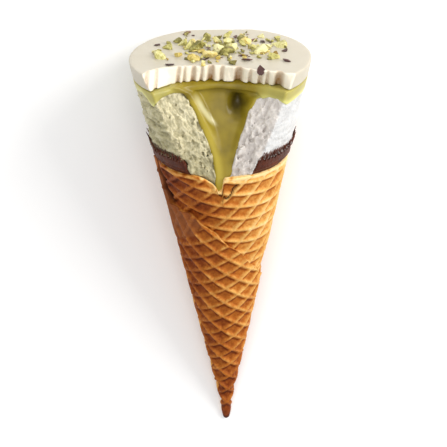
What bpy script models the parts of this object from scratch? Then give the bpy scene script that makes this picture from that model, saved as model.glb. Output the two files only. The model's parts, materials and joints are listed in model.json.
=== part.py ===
"""A filled wafer cone with a bite out of its front, lying on its back.

Pieces: a rolled wafer with rhombic ribs, a chocolate lining that stands above the wafer's rim, pistachio ice
cream on the left, milk ice cream on the right, a pistachio sauce between and above them, and a cream disc.
Each is modelled upright around the cone's axis, with the cone's apex at the origin, +Z up the axis and the
bitten front towards -Y. One empty then lays the whole cone down. Metres; angles in radians unless named deg.
"""

import math

import bmesh
import bpy
import numpy as np
from mathutils import Vector

MM = 0.001

# Driving dimensions
TOP_RADIUS = 31.0 * MM
APEX_TO_TOP = 145.7 * MM
RIM_HEIGHT = 110.0 * MM  # of the wafer's rim above the apex
DISC_THICKNESS = 5.7 * MM
GAP = 0.3 * MM  # between pieces that touch
FLAT_DEPTH = 0.4 * MM  # how much of the back the floor's plane takes off, as a spot to rest on
SEGMENTS = 44  # round the cone, for everything but the wafer

TAPER = TOP_RADIUS / APEX_TO_TOP
HALF_ANGLE = math.atan(TAPER)
TIP_HEIGHT = 2.4 * MM
SMALL_RADIUS = 6.0 * MM  # below this radius of the cone every wall thins towards the tip

# The wafer is two sheets thick. The outer one ends in a curved edge, and the inner one shows above that.
# Lifts are measured from the cone's envelope, and those below zero lie inside it.
INNER_FACE = -2.9 * MM
HOLLOW_FOOT = 20.0 * MM  # below this the wafer is solid
HOLLOW_TAPER = 6.0 * MM  # height over which the hollow comes to its point
SHOULDER = RIM_HEIGHT - 0.6 * MM  # where the rim's rounding starts
RIM_INSET = 0.95 * MM
TIP_RINGS = (
    (1.22 * MM, TIP_HEIGHT + 2.3 * MM),
    (0.95 * MM, TIP_HEIGHT + 0.9 * MM),
    (0.5 * MM, TIP_HEIGHT + 0.12 * MM),
)
TIP_SHOULDER = 6.5 * MM
OUTER_RIDGE = 0.0
OUTER_FLOOR = -0.7 * MM
INNER_RIDGE_AT_EDGE = -1.2 * MM
INNER_RIDGE_AWAY = -0.4 * MM
INNER_RISE = 14.0 * MM  # height over which the inner sheet comes up from the edge
INNER_RELIEF = 0.65 * MM
RIB_HALF_WIDTH = 1.15 * MM
SEAM_DEG = 169.0  # the sheet's two ends stop this far round to either side and are joined across the back

# Rib lines on the flat sheet before it is rolled: direction, spacing and start from the apex
OUTER_RIBS = ((math.radians(30.0), 5.25 * MM, 4.1 * MM), (math.radians(-37.5), 5.45 * MM, 3.4 * MM))
INNER_RIBS = ((math.radians(-10.0), 5.0 * MM, 0.1 * MM), (math.radians(44.0), 5.7 * MM, 5.65 * MM))
CELL_REACH = 7.0 * MM  # no cell is farther than this from its own middle
MOST_RIBS = 45
TIP_CREASES = 32.0 * MM  # below this the sheet is creased often enough to bend round the tip
FLAP_CREASES = 4.0 * MM  # and this close to the outer sheet's edge

# The outer sheet's edge, as degrees round from the front (right is positive) and height in mm
FLAP_EDGE = ((-78, 111), (-66, 101), (-54, 96), (-30, 94), (-8, 87.5), (6, 82), (20, 79.5), (34, 74.5),
             (62, 67), (95, 63), (130, 72), (154, 92), (165, 111))
# The broken piece of the rim, in the same degrees and mm
NOTCH = ((-27, 113), (-22, 110.2), (-18, 109.8), (-14, 108.6), (-9, 107.3), (-5.5, 105.8), (-3.2, 104.2),
         (-0.6, 105.6), (0.3, 110), (1, 113))
NOTCH_LIFTS = (-6.0 * MM, 4.0 * MM)

# Lining and ice cream
LINING_TOP = 117.2 * MM
LINING_TEETH = 0.5 * MM
LINING_THICKNESS = 1.5 * MM
LINING_BOTTOM = 22.0 * MM
LINING_FOOT_OUTSIDE = LINING_BOTTOM + 5.0 * MM  # where its wall begins outside and inside
LINING_FOOT_INSIDE = LINING_BOTTOM + 8.0 * MM
LINING_FLOOR = LINING_BOTTOM + 3.0 * MM
LINING_SHELF = RIM_HEIGHT + 1.7 * MM  # where it spreads out over the wafer's rim
LINING_SHELF_RISE = 0.2 * MM
LINING_LIP = 2.1 * MM  # its thickness above the rim

# Sauce: how far its layer hangs below the top, and the two edges of the flow down the front
LAYER_TOP = 6.0 * MM
LAYER_BOTTOM = 8.7 * MM
LAYER_LEAN = 1.6 * MM  # the layer is this much thicker on the right and thinner on the left
LAYER_DRIPS = ((-52.0, 2.7 * MM), (47.0, 0.8 * MM))  # degrees from the front, and length
DRIP_DEG = 7.0
FLOW_START = 7.0 * MM
FLOW_LENGTH = 30.0 * MM
FLOW_HEIGHTS = (106.0, 108.0, 110.4, 111.6, 114.0, 118.0, 123.0, 128.0, 132.0, 135.5, 138.6)
FLOW_LEFT = (2.2 * MM, 10.8 * MM, 1.45)  # half width at the foot, what the top adds, and the power
FLOW_RIGHT = (3.2 * MM, 9.5 * MM, 1.2)
FLOW_BACK = (5.0 * MM, -12.0 * MM)  # where its back is behind the axis, at the top and at the foot
FLOW_SUNK = 1.6 * MM  # how deep its middle lies, and how far its left edge stands up
FLOW_LIP = 0.9 * MM
FLOW_ROUNDING = 1.4 * MM
FLOW_FRONT_POINTS = 9
FLOW_BACK_POINTS = 6
CLEAR_OF_BITE = 3.5 * MM  # how far the room cut for the flow runs out into the open
TONGUE_HEIGHTS = (104.9 * MM, 112.0 * MM)
TONGUE_X = -1.7 * MM
TONGUE_HALF_WIDTH = 1.2 * MM
TONGUE_BACK = 16.0 * MM  # both in front of the axis
TONGUE_FRONT = 22.3 * MM
TONGUE_TUCK = 1.6 * MM  # how much farther in its foot lies
TONGUE_POINTS = 10

# The bite's surface: distance in front of the axis
BITE_MIDDLE = 9.6 * MM
BITE_FOOT = 22.0 * MM
BITE_START = 6.0 * MM
BITE_LENGTH = 31.0 * MM
BITE_POWER = 1.15
DISC_BITE_CURVE = 14.8  # per metre, of the bite across the disc and across the filling
FILLING_BITE_CURVE = 20.5
BITE_REACH = 33.0 * MM  # half the width of the block of air that the bite takes out
BITE_FAR = 60.0 * MM  # and how far it goes in front of the axis
TOOTH_PITCH = 5.6 * MM
TOOTH_DEPTH = 0.9 * MM
DISC_FILLET = 1.1 * MM

COLOURS = {
    "wafer": (0.56, 0.25, 0.07, 1.0),
    "chocolate": (0.12, 0.045, 0.025, 1.0),
    "pistachio ice cream": (0.70, 0.65, 0.42, 1.0),
    "milk ice cream": (0.88, 0.87, 0.84, 1.0),
    "pistachio sauce": (0.38, 0.31, 0.045, 1.0),
    "cream disc": (0.83, 0.78, 0.66, 1.0),
}


def clear_scene():
    for thing in list(bpy.data.objects):
        bpy.data.objects.remove(thing)


def make_material(name, roughness):
    material = bpy.data.materials.new(name)
    material.use_nodes = True
    shader = material.node_tree.nodes["Principled BSDF"]
    shader.inputs["Base Color"].default_value = COLOURS[name]
    shader.inputs["Roughness"].default_value = roughness
    shader.inputs["Metallic"].default_value = 0.0
    return material


def cone_radius(height):
    """Radius of the whole cone's smooth envelope."""
    return height * TAPER


def lifted_radius(height, lift):
    """A radius off the envelope, with the lift shrinking towards the tip."""
    radius = cone_radius(height)
    return radius + lift * min(1.0, radius / SMALL_RADIUS)


def around(angle, radius, height):
    """Point at an angle from the front, positive to the right."""
    return Vector((radius * math.sin(angle), -radius * math.cos(angle), height))


def add_object(name, bm, lay_down, material=None):
    """Turns a bmesh into an object on the cone's empty. One with no material is a cutter or a guide."""
    bmesh.ops.recalc_face_normals(bm, faces=bm.faces[:])
    bmesh.ops.triangulate(bm, faces=bm.faces[:])
    mesh = bpy.data.meshes.new(name)
    bm.to_mesh(mesh)
    bm.free()
    mesh.shade_smooth()
    mesh.set_sharp_from_angle(angle=math.radians(35.0))
    thing = bpy.data.objects.new(name, mesh)
    bpy.context.scene.collection.objects.link(thing)
    thing.parent = lay_down
    if material:
        mesh.materials.append(material)
    else:
        thing.hide_render = True
        thing.display_type = "WIRE"
    return thing


def boolean(target, other, operation):
    """Adds a Boolean modifier to target."""
    modifier = target.modifiers.new(operation.lower() + "_" + other.name, "BOOLEAN")
    modifier.operation = operation
    modifier.object = other
    modifier.solver = "EXACT"


def loft(rings):
    """A closed solid through rings of equally many points, with both ends capped."""
    bm = bmesh.new()
    rows = [[bm.verts.new(point) for point in ring] for ring in rings]
    count = len(rows[0])
    for low, high in zip(rows, rows[1:]):
        for k in range(count):
            n = (k + 1) % count
            bm.faces.new((low[k], low[n], high[n], high[k]))
    bm.faces.new(rows[0])
    bm.faces.new(rows[-1])
    return bm


def turned(profile, shift=lambda k, height: 0.0):
    """A solid of revolution from (radius, height) pairs that start and end on the axis."""
    bm = bmesh.new()
    rows = []
    for radius, height in profile[1:-1]:
        angles = [2 * math.pi * k / SEGMENTS for k in range(SEGMENTS)]
        rows.append([bm.verts.new(around(a, radius, height + shift(k, height)))
                     for k, a in enumerate(angles)])
    ends = [bm.verts.new((0.0, 0.0, profile[0][1])), bm.verts.new((0.0, 0.0, profile[-1][1]))]
    for k in range(SEGMENTS):
        n = (k + 1) % SEGMENTS
        for low, high in zip(rows, rows[1:]):
            bm.faces.new((low[k], low[n], high[n], high[k]))
        bm.faces.new((ends[0], rows[0][n], rows[0][k]))
        bm.faces.new((ends[1], rows[-1][k], rows[-1][n]))
    return bm


def box(low, high):
    bm = bmesh.new()
    bmesh.ops.create_cube(bm, size=1.0)
    for vert in bm.verts:
        vert.co = Vector([a + (c + 0.5) * (b - a) for a, b, c in zip(low, high, vert.co)])
    return bm


def wall_patch(outline, low_lift, high_lift):
    """A patch of wall: an outline of (degrees, mm) pairs pushed through the wafer from inside to outside."""
    rings = []
    for lift in (low_lift, high_lift):
        rings.append([
            around(math.radians(deg), cone_radius(mm * MM) + lift, mm * MM) for deg, mm in outline
        ])
    return loft(rings)


# ---------------------------------------------------------------- bite and sauce, as functions of place


def bite_front(x, depth):
    """How far in front of the axis the bitten surface stands, at a depth below the top."""
    if depth < BITE_START:
        return BITE_MIDDLE + DISC_BITE_CURVE * (x + 4 * MM) ** 2
    share = (depth - BITE_START) / BITE_LENGTH
    middle = BITE_MIDDLE + (BITE_FOOT - BITE_MIDDLE) * share ** BITE_POWER
    return middle + FILLING_BITE_CURVE * (x + 1 * MM) ** 2


def tooth_marks(x):
    """Scallops along the disc's bitten edge."""
    return TOOTH_DEPTH * (abs(math.sin(math.pi * (x - 1.5 * MM) / TOOTH_PITCH)) - 0.5)


def bite_cutter(low, high, across, rows, front):
    """The air in front of a bitten surface, as one closed block."""
    bm = bmesh.new()
    xs = np.linspace(-BITE_REACH, BITE_REACH, across)
    heights = np.linspace(low, high, rows)
    near = [[bm.verts.new((x, -front(x, APEX_TO_TOP - h), h)) for x in xs] for h in heights]
    far = [[bm.verts.new((x, -BITE_FAR, h)) for x in xs] for h in heights]
    for r in range(rows - 1):
        for side in (near, far):
            for c in range(across - 1):
                bm.faces.new((side[r][c], side[r][c + 1], side[r + 1][c + 1], side[r + 1][c]))
        for c in (0, across - 1):
            bm.faces.new((near[r][c], near[r + 1][c], far[r + 1][c], far[r][c]))
    for c in range(across - 1):
        for r in (0, rows - 1):
            bm.faces.new((near[r][c], near[r][c + 1], far[r][c + 1], far[r][c]))
    return bm


def layer_depth(angle):
    """Depth below the top of the sauce layer's underside, round the cone, with a drip at each corner."""
    deg = math.degrees(math.atan2(math.sin(angle), math.cos(angle)))
    drips = sum(length * math.exp(-(((deg - place) / DRIP_DEG) ** 2)) for place, length in LAYER_DRIPS)
    return LAYER_BOTTOM + LAYER_LEAN * math.sin(angle) + drips


def flow_edges(depth):
    """The left and right edges of the flow of sauce at a depth below the top."""
    rest = min(1.0, max(0.0, 1 - (depth - FLOW_START) / FLOW_LENGTH))
    left, right = [foot + extra * rest ** power for foot, extra, power in (FLOW_LEFT, FLOW_RIGHT)]
    return -left, right


def flow_ring(height, grow):
    """One section of the flow: a bulging front with a raised left edge, and a rounded wedge of a back.

    The room for it is wider all round by grow and runs out through the bitten face into the open.
    """
    depth = APEX_TO_TOP - height
    left, right = flow_edges(depth)
    middle = (left + right) / 2
    half = (right - left) / 2 + grow
    share = min(1.0, max(0.0, (depth - FLOW_START) / FLOW_LENGTH))
    inside_wafer = cone_radius(height) + INNER_FACE - GAP
    front = []
    for across in np.linspace(-1.0, 1.0, FLOW_FRONT_POINTS):
        x = middle + half * across
        sunk = FLOW_SUNK * (1 - across ** 2) * (1 - share)
        lip = FLOW_LIP * math.exp(-(((across + 0.72) / 0.3) ** 2))
        reach = bite_front(x, max(depth, BITE_START)) - sunk + lip - FLOW_ROUNDING * across ** 6
        if height < RIM_HEIGHT + 0.6 * MM:
            reach = min(reach, math.sqrt(inside_wafer ** 2 - x ** 2))
        front.append(Vector((x, -reach, height)))
    back = FLOW_BACK[0] * (1 - share) + FLOW_BACK[1] * share + grow
    side = front[-1].y
    points = []
    for k in range(1, FLOW_BACK_POINTS):
        turn = math.pi * k / FLOW_BACK_POINTS
        y = side + (back - side) * math.sin(turn) ** 0.8
        points.append(Vector((middle + half * math.cos(turn), y, height)))
    if grow:
        ahead = grow if height < RIM_HEIGHT + 0.6 * MM else CLEAR_OF_BITE
        return [front[0]] + [point - Vector((0, ahead, 0)) for point in front] + [front[-1]] + points
    return front + points


def sauce_layer(grow):
    """The layer under the disc, with its uneven underside. The room for it reaches outside the cone."""
    top = APEX_TO_TOP - LAYER_TOP + grow
    middle_foot = APEX_TO_TOP - LAYER_BOTTOM - grow
    rows = []
    for share, beyond, is_top in ((1.0, 1.2 * MM, True), (1.0, 1.2 * MM, False), (1.0, 0.0, False),
                                  (0.78, 0.0, False)):
        if beyond and not grow and not is_top:
            continue
        row = []
        for k in range(SEGMENTS):
            angle = 2 * math.pi * (k + 0.5) / SEGMENTS
            foot = APEX_TO_TOP - layer_depth(angle) - grow
            if share < 1.0:
                foot = middle_foot - 0.8 * LAYER_LEAN * math.sin(angle)
            height = top if is_top else foot
            row.append((angle, share * cone_radius(height) + (beyond if grow else 0.0), height))
        rows.append(row)
    bm = bmesh.new()
    rows = [[bm.verts.new(around(*place)) for place in row] for row in rows]
    poles = [bm.verts.new((0, 0, top)), bm.verts.new((0, 0, middle_foot))]
    for k in range(SEGMENTS):
        n = (k + 1) % SEGMENTS
        bm.faces.new((poles[0], rows[0][k], rows[0][n]))
        bm.faces.new((poles[1], rows[-1][n], rows[-1][k]))
        for low, high in zip(rows, rows[1:]):
            bm.faces.new((low[k], low[n], high[n], high[k]))
    return bm


def sauce_flow(grow):
    """The flow from under the layer down to the rim, with its core behind."""
    heights = [mm * MM for mm in FLOW_HEIGHTS]
    heights[0] -= grow
    return loft([flow_ring(h, grow) for h in heights])


def sauce_tongue(grow):
    """The drop of sauce that hangs from the flow's foot into the broken notch."""
    foot, head = TONGUE_HEIGHTS
    rings = []
    for share in (0.0, 0.4, 1.0):
        height = foot + (head - foot) * share - (grow if share == 0.0 else 0.0)
        half = TONGUE_HALF_WIDTH * (0.35 + 0.65 * share ** 0.6) + grow
        front = TONGUE_FRONT - TONGUE_TUCK * (1 - share) + grow
        middle = (TONGUE_BACK - grow + front) / 2
        turns = [2 * math.pi * k / TONGUE_POINTS for k in range(TONGUE_POINTS)]
        ring = []
        for turn in turns:
            reach = middle + (front - middle) * math.sin(turn)
            ring.append(Vector((TONGUE_X + half * math.cos(turn), -reach, height)))
        rings.append(ring)
    return loft(rings)


# ---------------------------------------------------------------- the wafer


def unrolled(deg, mm):
    """Place on the flat sheet of a point given by its angle from the front and its height."""
    turn = math.radians(deg) * math.sin(HALF_ANGLE)
    along = mm * MM / math.cos(HALF_ANGLE)
    return Vector((along * math.sin(turn), along * math.cos(turn), 0.0))


def rolled(place):
    """Takes a point of the flat sheet, whose Z is its lift off the envelope, to its place on the cone."""
    height = math.hypot(place.x, place.y) * math.cos(HALF_ANGLE)
    angle = math.atan2(place.x, place.y) / math.sin(HALF_ANGLE)
    return around(angle, lifted_radius(height, place.z), height)


def outer_lift(x, y, is_ridge):
    return OUTER_RIDGE if is_ridge else OUTER_FLOOR


def above_flap(x, y):
    """Height of a place on the flat sheet above the outer sheet's edge."""
    deg = math.degrees(math.atan2(x, y) / math.sin(HALF_ANGLE))
    height = math.hypot(x, y) * math.cos(HALF_ANGLE)
    edge = np.interp(deg, [knot[0] for knot in FLAP_EDGE], [knot[1] for knot in FLAP_EDGE])
    return height - edge * MM


def inner_lift(x, y, is_ridge):
    """The inner sheet lies deep beside the outer one's edge and comes up away from it."""
    away = min(1.0, max(0.0, above_flap(x, y) / INNER_RISE))
    ridge = INNER_RIDGE_AT_EDGE + (INNER_RIDGE_AWAY - INNER_RIDGE_AT_EDGE) * away
    return ridge if is_ridge else ridge - INNER_RELIEF


def rib_crossing(ribs, i, j):
    """Where rib line i of the first family meets rib line j of the second on the flat sheet."""
    (first, pitch, start), (second, other_pitch, other_start) = ribs
    rows = np.array([[-math.sin(first), math.cos(first)], [-math.sin(second), math.cos(second)]])
    return np.linalg.solve(rows, [start + i * pitch, other_start + j * other_pitch])


def cut_plane(bm, point, normal, clear, faces=None):
    """Cuts the mesh, or some of its faces, and returns the vertices that lie on the cut."""
    faces = faces if faces is not None else bm.faces[:]
    edges = list({edge for face in faces for edge in face.edges})
    verts = list({vert for face in faces for vert in face.verts})
    made = bmesh.ops.bisect_plane(bm, geom=verts + edges + faces, dist=1e-8, plane_co=point,
                                  plane_no=normal, clear_outer=clear)
    return [item for item in made["geom_cut"] if isinstance(item, bmesh.types.BMVert)]


def radial_normal(deg):
    """Normal of the line on the flat sheet that runs from the apex at an angle, towards greater angles."""
    turn = math.radians(deg) * math.sin(HALF_ANGLE)
    return Vector((math.cos(turn), -math.sin(turn), 0.0))


def flat_waffle(ribs, lift, first, last):
    """The ribbed sheet laid flat between two angles: each cell is a sunken floor with four slopes."""
    bm = bmesh.new()
    reach = (RIM_HEIGHT + 8 * MM) / math.cos(HALF_ANGLE)
    inset = (RIB_HALF_WIDTH / ribs[0][1], RIB_HALF_WIDTH / ribs[1][1])
    sides = (radial_normal(first), radial_normal(last))
    ridge = {}

    def ridge_vert(i, j):
        if (i, j) not in ridge:
            x, y = rib_crossing(ribs, i, j)
            ridge[i, j] = bm.verts.new((x, y, lift(x, y, True)))
        return ridge[i, j]

    for i in range(-MOST_RIBS, MOST_RIBS):
        for j in range(-MOST_RIBS, MOST_RIBS):
            middle = Vector((*rib_crossing(ribs, i + 0.5, j + 0.5), 0.0))
            beside = middle.dot(sides[0]) < -CELL_REACH or middle.dot(sides[1]) > CELL_REACH
            if beside or middle.length > reach:
                continue
            corners = ((0, 0), (1, 0), (1, 1), (0, 1))
            tops = [ridge_vert(i + a, j + b) for a, b in corners]
            floor = []
            for a, b in corners:
                x, y = rib_crossing(ribs, i + a + inset[0] * (1 - 2 * a), j + b + inset[1] * (1 - 2 * b))
                floor.append(bm.verts.new((x, y, lift(x, y, False))))
            bm.faces.new(floor)
            for k in range(4):
                n = (k + 1) % 4
                bm.faces.new((floor[k], tops[k], tops[n], floor[n]))
    cut_plane(bm, (0, 0, 0), -sides[0], clear=True)
    cut_plane(bm, (0, 0, 0), sides[1], clear=True)
    return bm


def pour_into(whole, piece):
    """Copies a bmesh into another one and returns where each vertex went."""
    copies = {vert: whole.verts.new(vert.co) for vert in piece.verts}
    for face in piece.faces:
        whole.faces.new([copies[vert] for vert in face.verts])
    return copies


def add_sector(whole, low_knot, high_knot):
    """One sector of the unrolled wafer, with the outer sheet's edge across it where it has one."""
    lower = flat_waffle(OUTER_RIBS, outer_lift, low_knot[0], high_knot[0])
    if low_knot[1] is None or high_knot[1] is None:
        pour_into(whole, lower)
        lower.free()
        return
    start, end = unrolled(*low_knot), unrolled(*high_knot)
    along = end - start
    upwards = Vector((-along.y, along.x, 0.0))
    edges = []
    upper = flat_waffle(INNER_RIBS, inner_lift, low_knot[0], high_knot[0])
    for sheet, normal in ((lower, upwards), (upper, -upwards)):
        on_cut = cut_plane(sheet, start, normal, clear=True)
        copies = pour_into(whole, sheet)
        edges.append(sorted([copies[vert] for vert in on_cut], key=lambda vert: vert.co.dot(along)))
        sheet.free()
    whole.faces.new(edges[0] + edges[1][::-1])


def close_seam(bm):
    """Joins the rolled sheet's two ends at the back with a ribbon of triangles."""
    seam = math.radians(SEAM_DEG)
    open_verts = {vert for edge in bm.edges if edge.is_boundary for vert in edge.verts}
    rows = []
    for side in (-1, 1):
        row = [vert for vert in open_verts if abs(math.atan2(vert.co.x, -vert.co.y) - side * seam) < 0.003]
        rows.append(sorted(row, key=lambda vert: vert.co.z))
    left, right = rows
    while len(left) > 1 or len(right) > 1:
        on_left = len(right) == 1 or (len(left) > 1 and left[1].co.z < right[1].co.z)
        row = left if on_left else right
        bm.faces.new((left[0], right[0], row[1]))
        row.pop(0)


def close_end(bm, plane_height, rings, pole_height):
    """Carries the open edge at a height through rings of (radius, height) and closes it on the axis."""
    edges = [edge for edge in bm.edges
             if edge.is_boundary and all(abs(vert.co.z - plane_height) < 1e-6 for vert in edge.verts)]
    for radius, height in rings:
        made = bmesh.ops.extrude_edge_only(bm, edges=edges)["geom"]
        edges = [item for item in made if isinstance(item, bmesh.types.BMEdge)]
        for vert in {vert for edge in edges for vert in edge.verts}:
            vert.co = around(math.atan2(vert.co.x, -vert.co.y), radius, height)
    pole = bm.verts.new((0.0, 0.0, pole_height))
    for edge in edges:
        bm.faces.new((*edge.verts, pole))


def crease(bm, deg, is_wanted):
    """Cuts the faces that are wanted, by their middles, along a line from the apex."""
    faces = [face for face in bm.faces if is_wanted(face.calc_center_median())]
    cut_plane(bm, (0, 0, 0), radial_normal(deg), clear=False, faces=faces)


def wafer_mesh():
    """The whole wafer as one closed surface: ribbed outside, plain inside, and rounded at rim and tip."""
    bm = bmesh.new()
    add_sector(bm, (-SEAM_DEG, None), (FLAP_EDGE[0][0], None))
    for low_knot, high_knot in zip(FLAP_EDGE, FLAP_EDGE[1:]):
        add_sector(bm, low_knot, high_knot)
    add_sector(bm, (FLAP_EDGE[-1][0], None), (SEAM_DEG, None))
    bmesh.ops.remove_doubles(bm, verts=bm.verts[:], dist=1e-6)
    bmesh.ops.dissolve_limit(bm, angle_limit=math.radians(1.0), verts=bm.verts[:], edges=bm.edges[:])
    for deg in range(-75, 170, 15):
        crease(bm, deg, lambda middle: abs(above_flap(middle.x, middle.y)) < FLAP_CREASES)
    for deg in range(-135, 180, 45):
        crease(bm, deg, lambda middle: middle.length < TIP_CREASES)
    bmesh.ops.triangulate(bm, faces=bm.faces[:])
    for vert in bm.verts:
        vert.co = rolled(vert.co)
    close_seam(bm)
    bmesh.ops.triangulate(bm, faces=bm.faces[:])
    cut_plane(bm, (0, 0, SHOULDER), (0, 0, 1), clear=True)
    cut_plane(bm, (0, 0, TIP_SHOULDER), (0, 0, -1), clear=True)
    rim = cone_radius(RIM_HEIGHT)
    hollow = HOLLOW_FOOT + HOLLOW_TAPER
    inside = ((rim - RIM_INSET, RIM_HEIGHT), (rim + INNER_FACE, RIM_HEIGHT),
              (lifted_radius(hollow, INNER_FACE), hollow))
    close_end(bm, SHOULDER, inside, HOLLOW_FOOT)
    close_end(bm, TIP_SHOULDER, TIP_RINGS, TIP_HEIGHT)
    bmesh.ops.remove_doubles(bm, verts=bm.verts[:], dist=5e-6)
    return bm


def make_wafer(lay_down, material):
    wafer = add_object("wafer_cone", wafer_mesh(), lay_down, material)
    notch = add_object("notch", wall_patch(NOTCH, *NOTCH_LIFTS), lay_down)
    boolean(wafer, notch, "DIFFERENCE")
    boolean(wafer, add_object("tongue_slot", sauce_tongue(GAP), lay_down), "DIFFERENCE")
    return wafer


# ---------------------------------------------------------------- the filling


def inner_wall(height):
    """Outer radius of whatever lines the wafer: inside it up to the rim, and flush with it above."""
    if height < RIM_HEIGHT + GAP:
        return lifted_radius(height, INNER_FACE) - GAP
    return cone_radius(height)


def lining_inside(height):
    """Inner radius of the lining, which steps out where the lining spreads over the wafer's rim."""
    if height < LINING_SHELF:
        return lifted_radius(height, INNER_FACE) - GAP - LINING_THICKNESS
    return cone_radius(height) - LINING_LIP


def teeth(k, height):
    """A ragged upper edge for the lining and the ice cream that stands on it."""
    if abs(height - LINING_TOP) > GAP + 0.01 * MM:
        return 0.0
    return LINING_TEETH * (0.6 if k % 2 else -0.6) * (1 + 0.5 * math.sin(1.7 * k))


def make_lining(lay_down, material):
    below_shelf = LINING_SHELF - LINING_SHELF_RISE
    outside = [(0.0, LINING_BOTTOM), (inner_wall(LINING_FOOT_OUTSIDE), LINING_FOOT_OUTSIDE)]
    outside += [(inner_wall(RIM_HEIGHT), RIM_HEIGHT + GAP)]
    outside += [(inner_wall(h), h) for h in (RIM_HEIGHT + 1.1 * GAP, LINING_TOP)]
    inside = [(lining_inside(h), h) for h in (LINING_TOP, LINING_SHELF, below_shelf, LINING_FOOT_INSIDE)]
    inside += [(0.0, LINING_FLOOR)]
    return add_object("chocolate_lining", turned(outside + inside, teeth), lay_down, material)


def ice_cream_body():
    """Both ice creams in one, before the sauce, the bite and the split are taken out."""
    below_shelf = LINING_SHELF - LINING_SHELF_RISE
    top = APEX_TO_TOP - LAYER_TOP - GAP
    profile = [(0.0, LINING_FLOOR + GAP)]
    profile += [(lining_inside(h) - GAP, h + GAP) for h in (LINING_FOOT_INSIDE, below_shelf)]
    profile += [(lining_inside(h) - GAP, h) for h in (LINING_SHELF + GAP, LINING_TOP + GAP)]
    profile += [(cone_radius(LINING_TOP + GAP), LINING_TOP + GAP)]
    profile += [(cone_radius(top), top), (0.0, top)]
    return turned(profile, teeth)


def make_filling(lay_down, materials):
    """Cuts the ice cream body into its two halves, round the sauce and behind the bite."""
    lower_bite = add_object("lower_bite", bite_cutter(104 * MM, 142 * MM, 21, 7, bite_front), lay_down)
    layer = add_object("sauce_layer_room", sauce_layer(GAP), lay_down)
    flow = add_object("sauce_flow_room", sauce_flow(GAP), lay_down)
    tongue = add_object("sauce_tongue_room", sauce_tongue(GAP), lay_down)
    halves = (("pistachio_ice_cream", "pistachio ice cream", 1), ("milk_ice_cream", "milk ice cream", -1))
    pieces = []
    for name, finish, side in halves:
        piece = add_object(name, ice_cream_body(), lay_down, materials[finish])
        ends = sorted((-0.5 * GAP * side, 45 * MM * side))
        other_half = box((ends[0], -45 * MM, 10 * MM), (ends[1], 45 * MM, 150 * MM))
        boolean(piece, add_object(name + "_other_side", other_half, lay_down), "DIFFERENCE")
        pieces.append(piece)
    pieces.append(make_lining(lay_down, materials["chocolate"]))
    for piece in pieces:
        for cutter in (lower_bite, layer, flow, tongue):
            boolean(piece, cutter, "DIFFERENCE")
    return pieces


def make_sauce(lay_down, material):
    sauce = add_object("pistachio_sauce", sauce_layer(0.0), lay_down, material)
    front_of_layer = bite_cutter(130 * MM, 142 * MM, 21, 3, lambda x, depth: bite_front(x, 0) - 0.3 * MM)
    boolean(sauce, add_object("layer_bite", front_of_layer, lay_down), "DIFFERENCE")
    boolean(sauce, add_object("sauce_flow", sauce_flow(0.0), lay_down), "UNION")
    boolean(sauce, add_object("sauce_tongue", sauce_tongue(0.0), lay_down), "UNION")
    return sauce


def make_disc(lay_down, material):
    """The cream disc, rounded at its top edge, with tooth marks down its bitten face."""
    low = APEX_TO_TOP - DISC_THICKNESS
    profile = [(0.0, low), (cone_radius(low), low)]
    for turn in (0.0, 30.0, 60.0, 90.0):
        angle = math.radians(turn)
        height = APEX_TO_TOP - DISC_FILLET * (1 - math.sin(angle))
        profile.append((cone_radius(height) - DISC_FILLET * (1 - math.cos(angle)), height))
    profile.append((0.0, APEX_TO_TOP))
    disc = add_object("cream_disc", turned(profile), lay_down, material)
    marks = bite_cutter(130 * MM, 150 * MM, 79, 2, lambda x, depth: bite_front(x, 0) + tooth_marks(x))
    boolean(disc, add_object("disc_bite", marks, lay_down), "DIFFERENCE")
    return disc


def settle(lay_down, pieces):
    """Lays the cone on its back, its footprint centred on the origin, and trims a flat to rest on."""
    lay_down.rotation_euler = (HALF_ANGLE - math.pi / 2, 0.0, 0.0)
    length = (APEX_TO_TOP - 0.35 * MM) / math.cos(HALF_ANGLE)
    tip = TIP_HEIGHT * math.cos(HALF_ANGLE)
    lay_down.location = (0.0, -(length + tip) / 2, -FLAT_DEPTH)
    floor = add_object("floor", box((-60 * MM, -200 * MM, -20 * MM), (60 * MM, 200 * MM, 0.0)), None)
    for piece in pieces:
        boolean(piece, floor, "DIFFERENCE")


def main():
    clear_scene()
    lay_down = bpy.data.objects.new("lay_down", None)
    bpy.context.scene.collection.objects.link(lay_down)
    roughness = {"wafer": 0.6, "chocolate": 0.45, "pistachio ice cream": 0.8, "milk ice cream": 0.8,
                 "pistachio sauce": 0.15, "cream disc": 0.4}
    materials = {name: make_material(name, value) for name, value in roughness.items()}
    pieces = [make_wafer(lay_down, materials["wafer"])]
    pieces += make_filling(lay_down, materials)
    pieces.append(make_sauce(lay_down, materials["pistachio sauce"]))
    pieces.append(make_disc(lay_down, materials["cream disc"]))
    settle(lay_down, pieces)


main()
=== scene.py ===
import json
import math

import bmesh
import bpy
import numpy as np
from mathutils import Matrix, Vector

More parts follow.
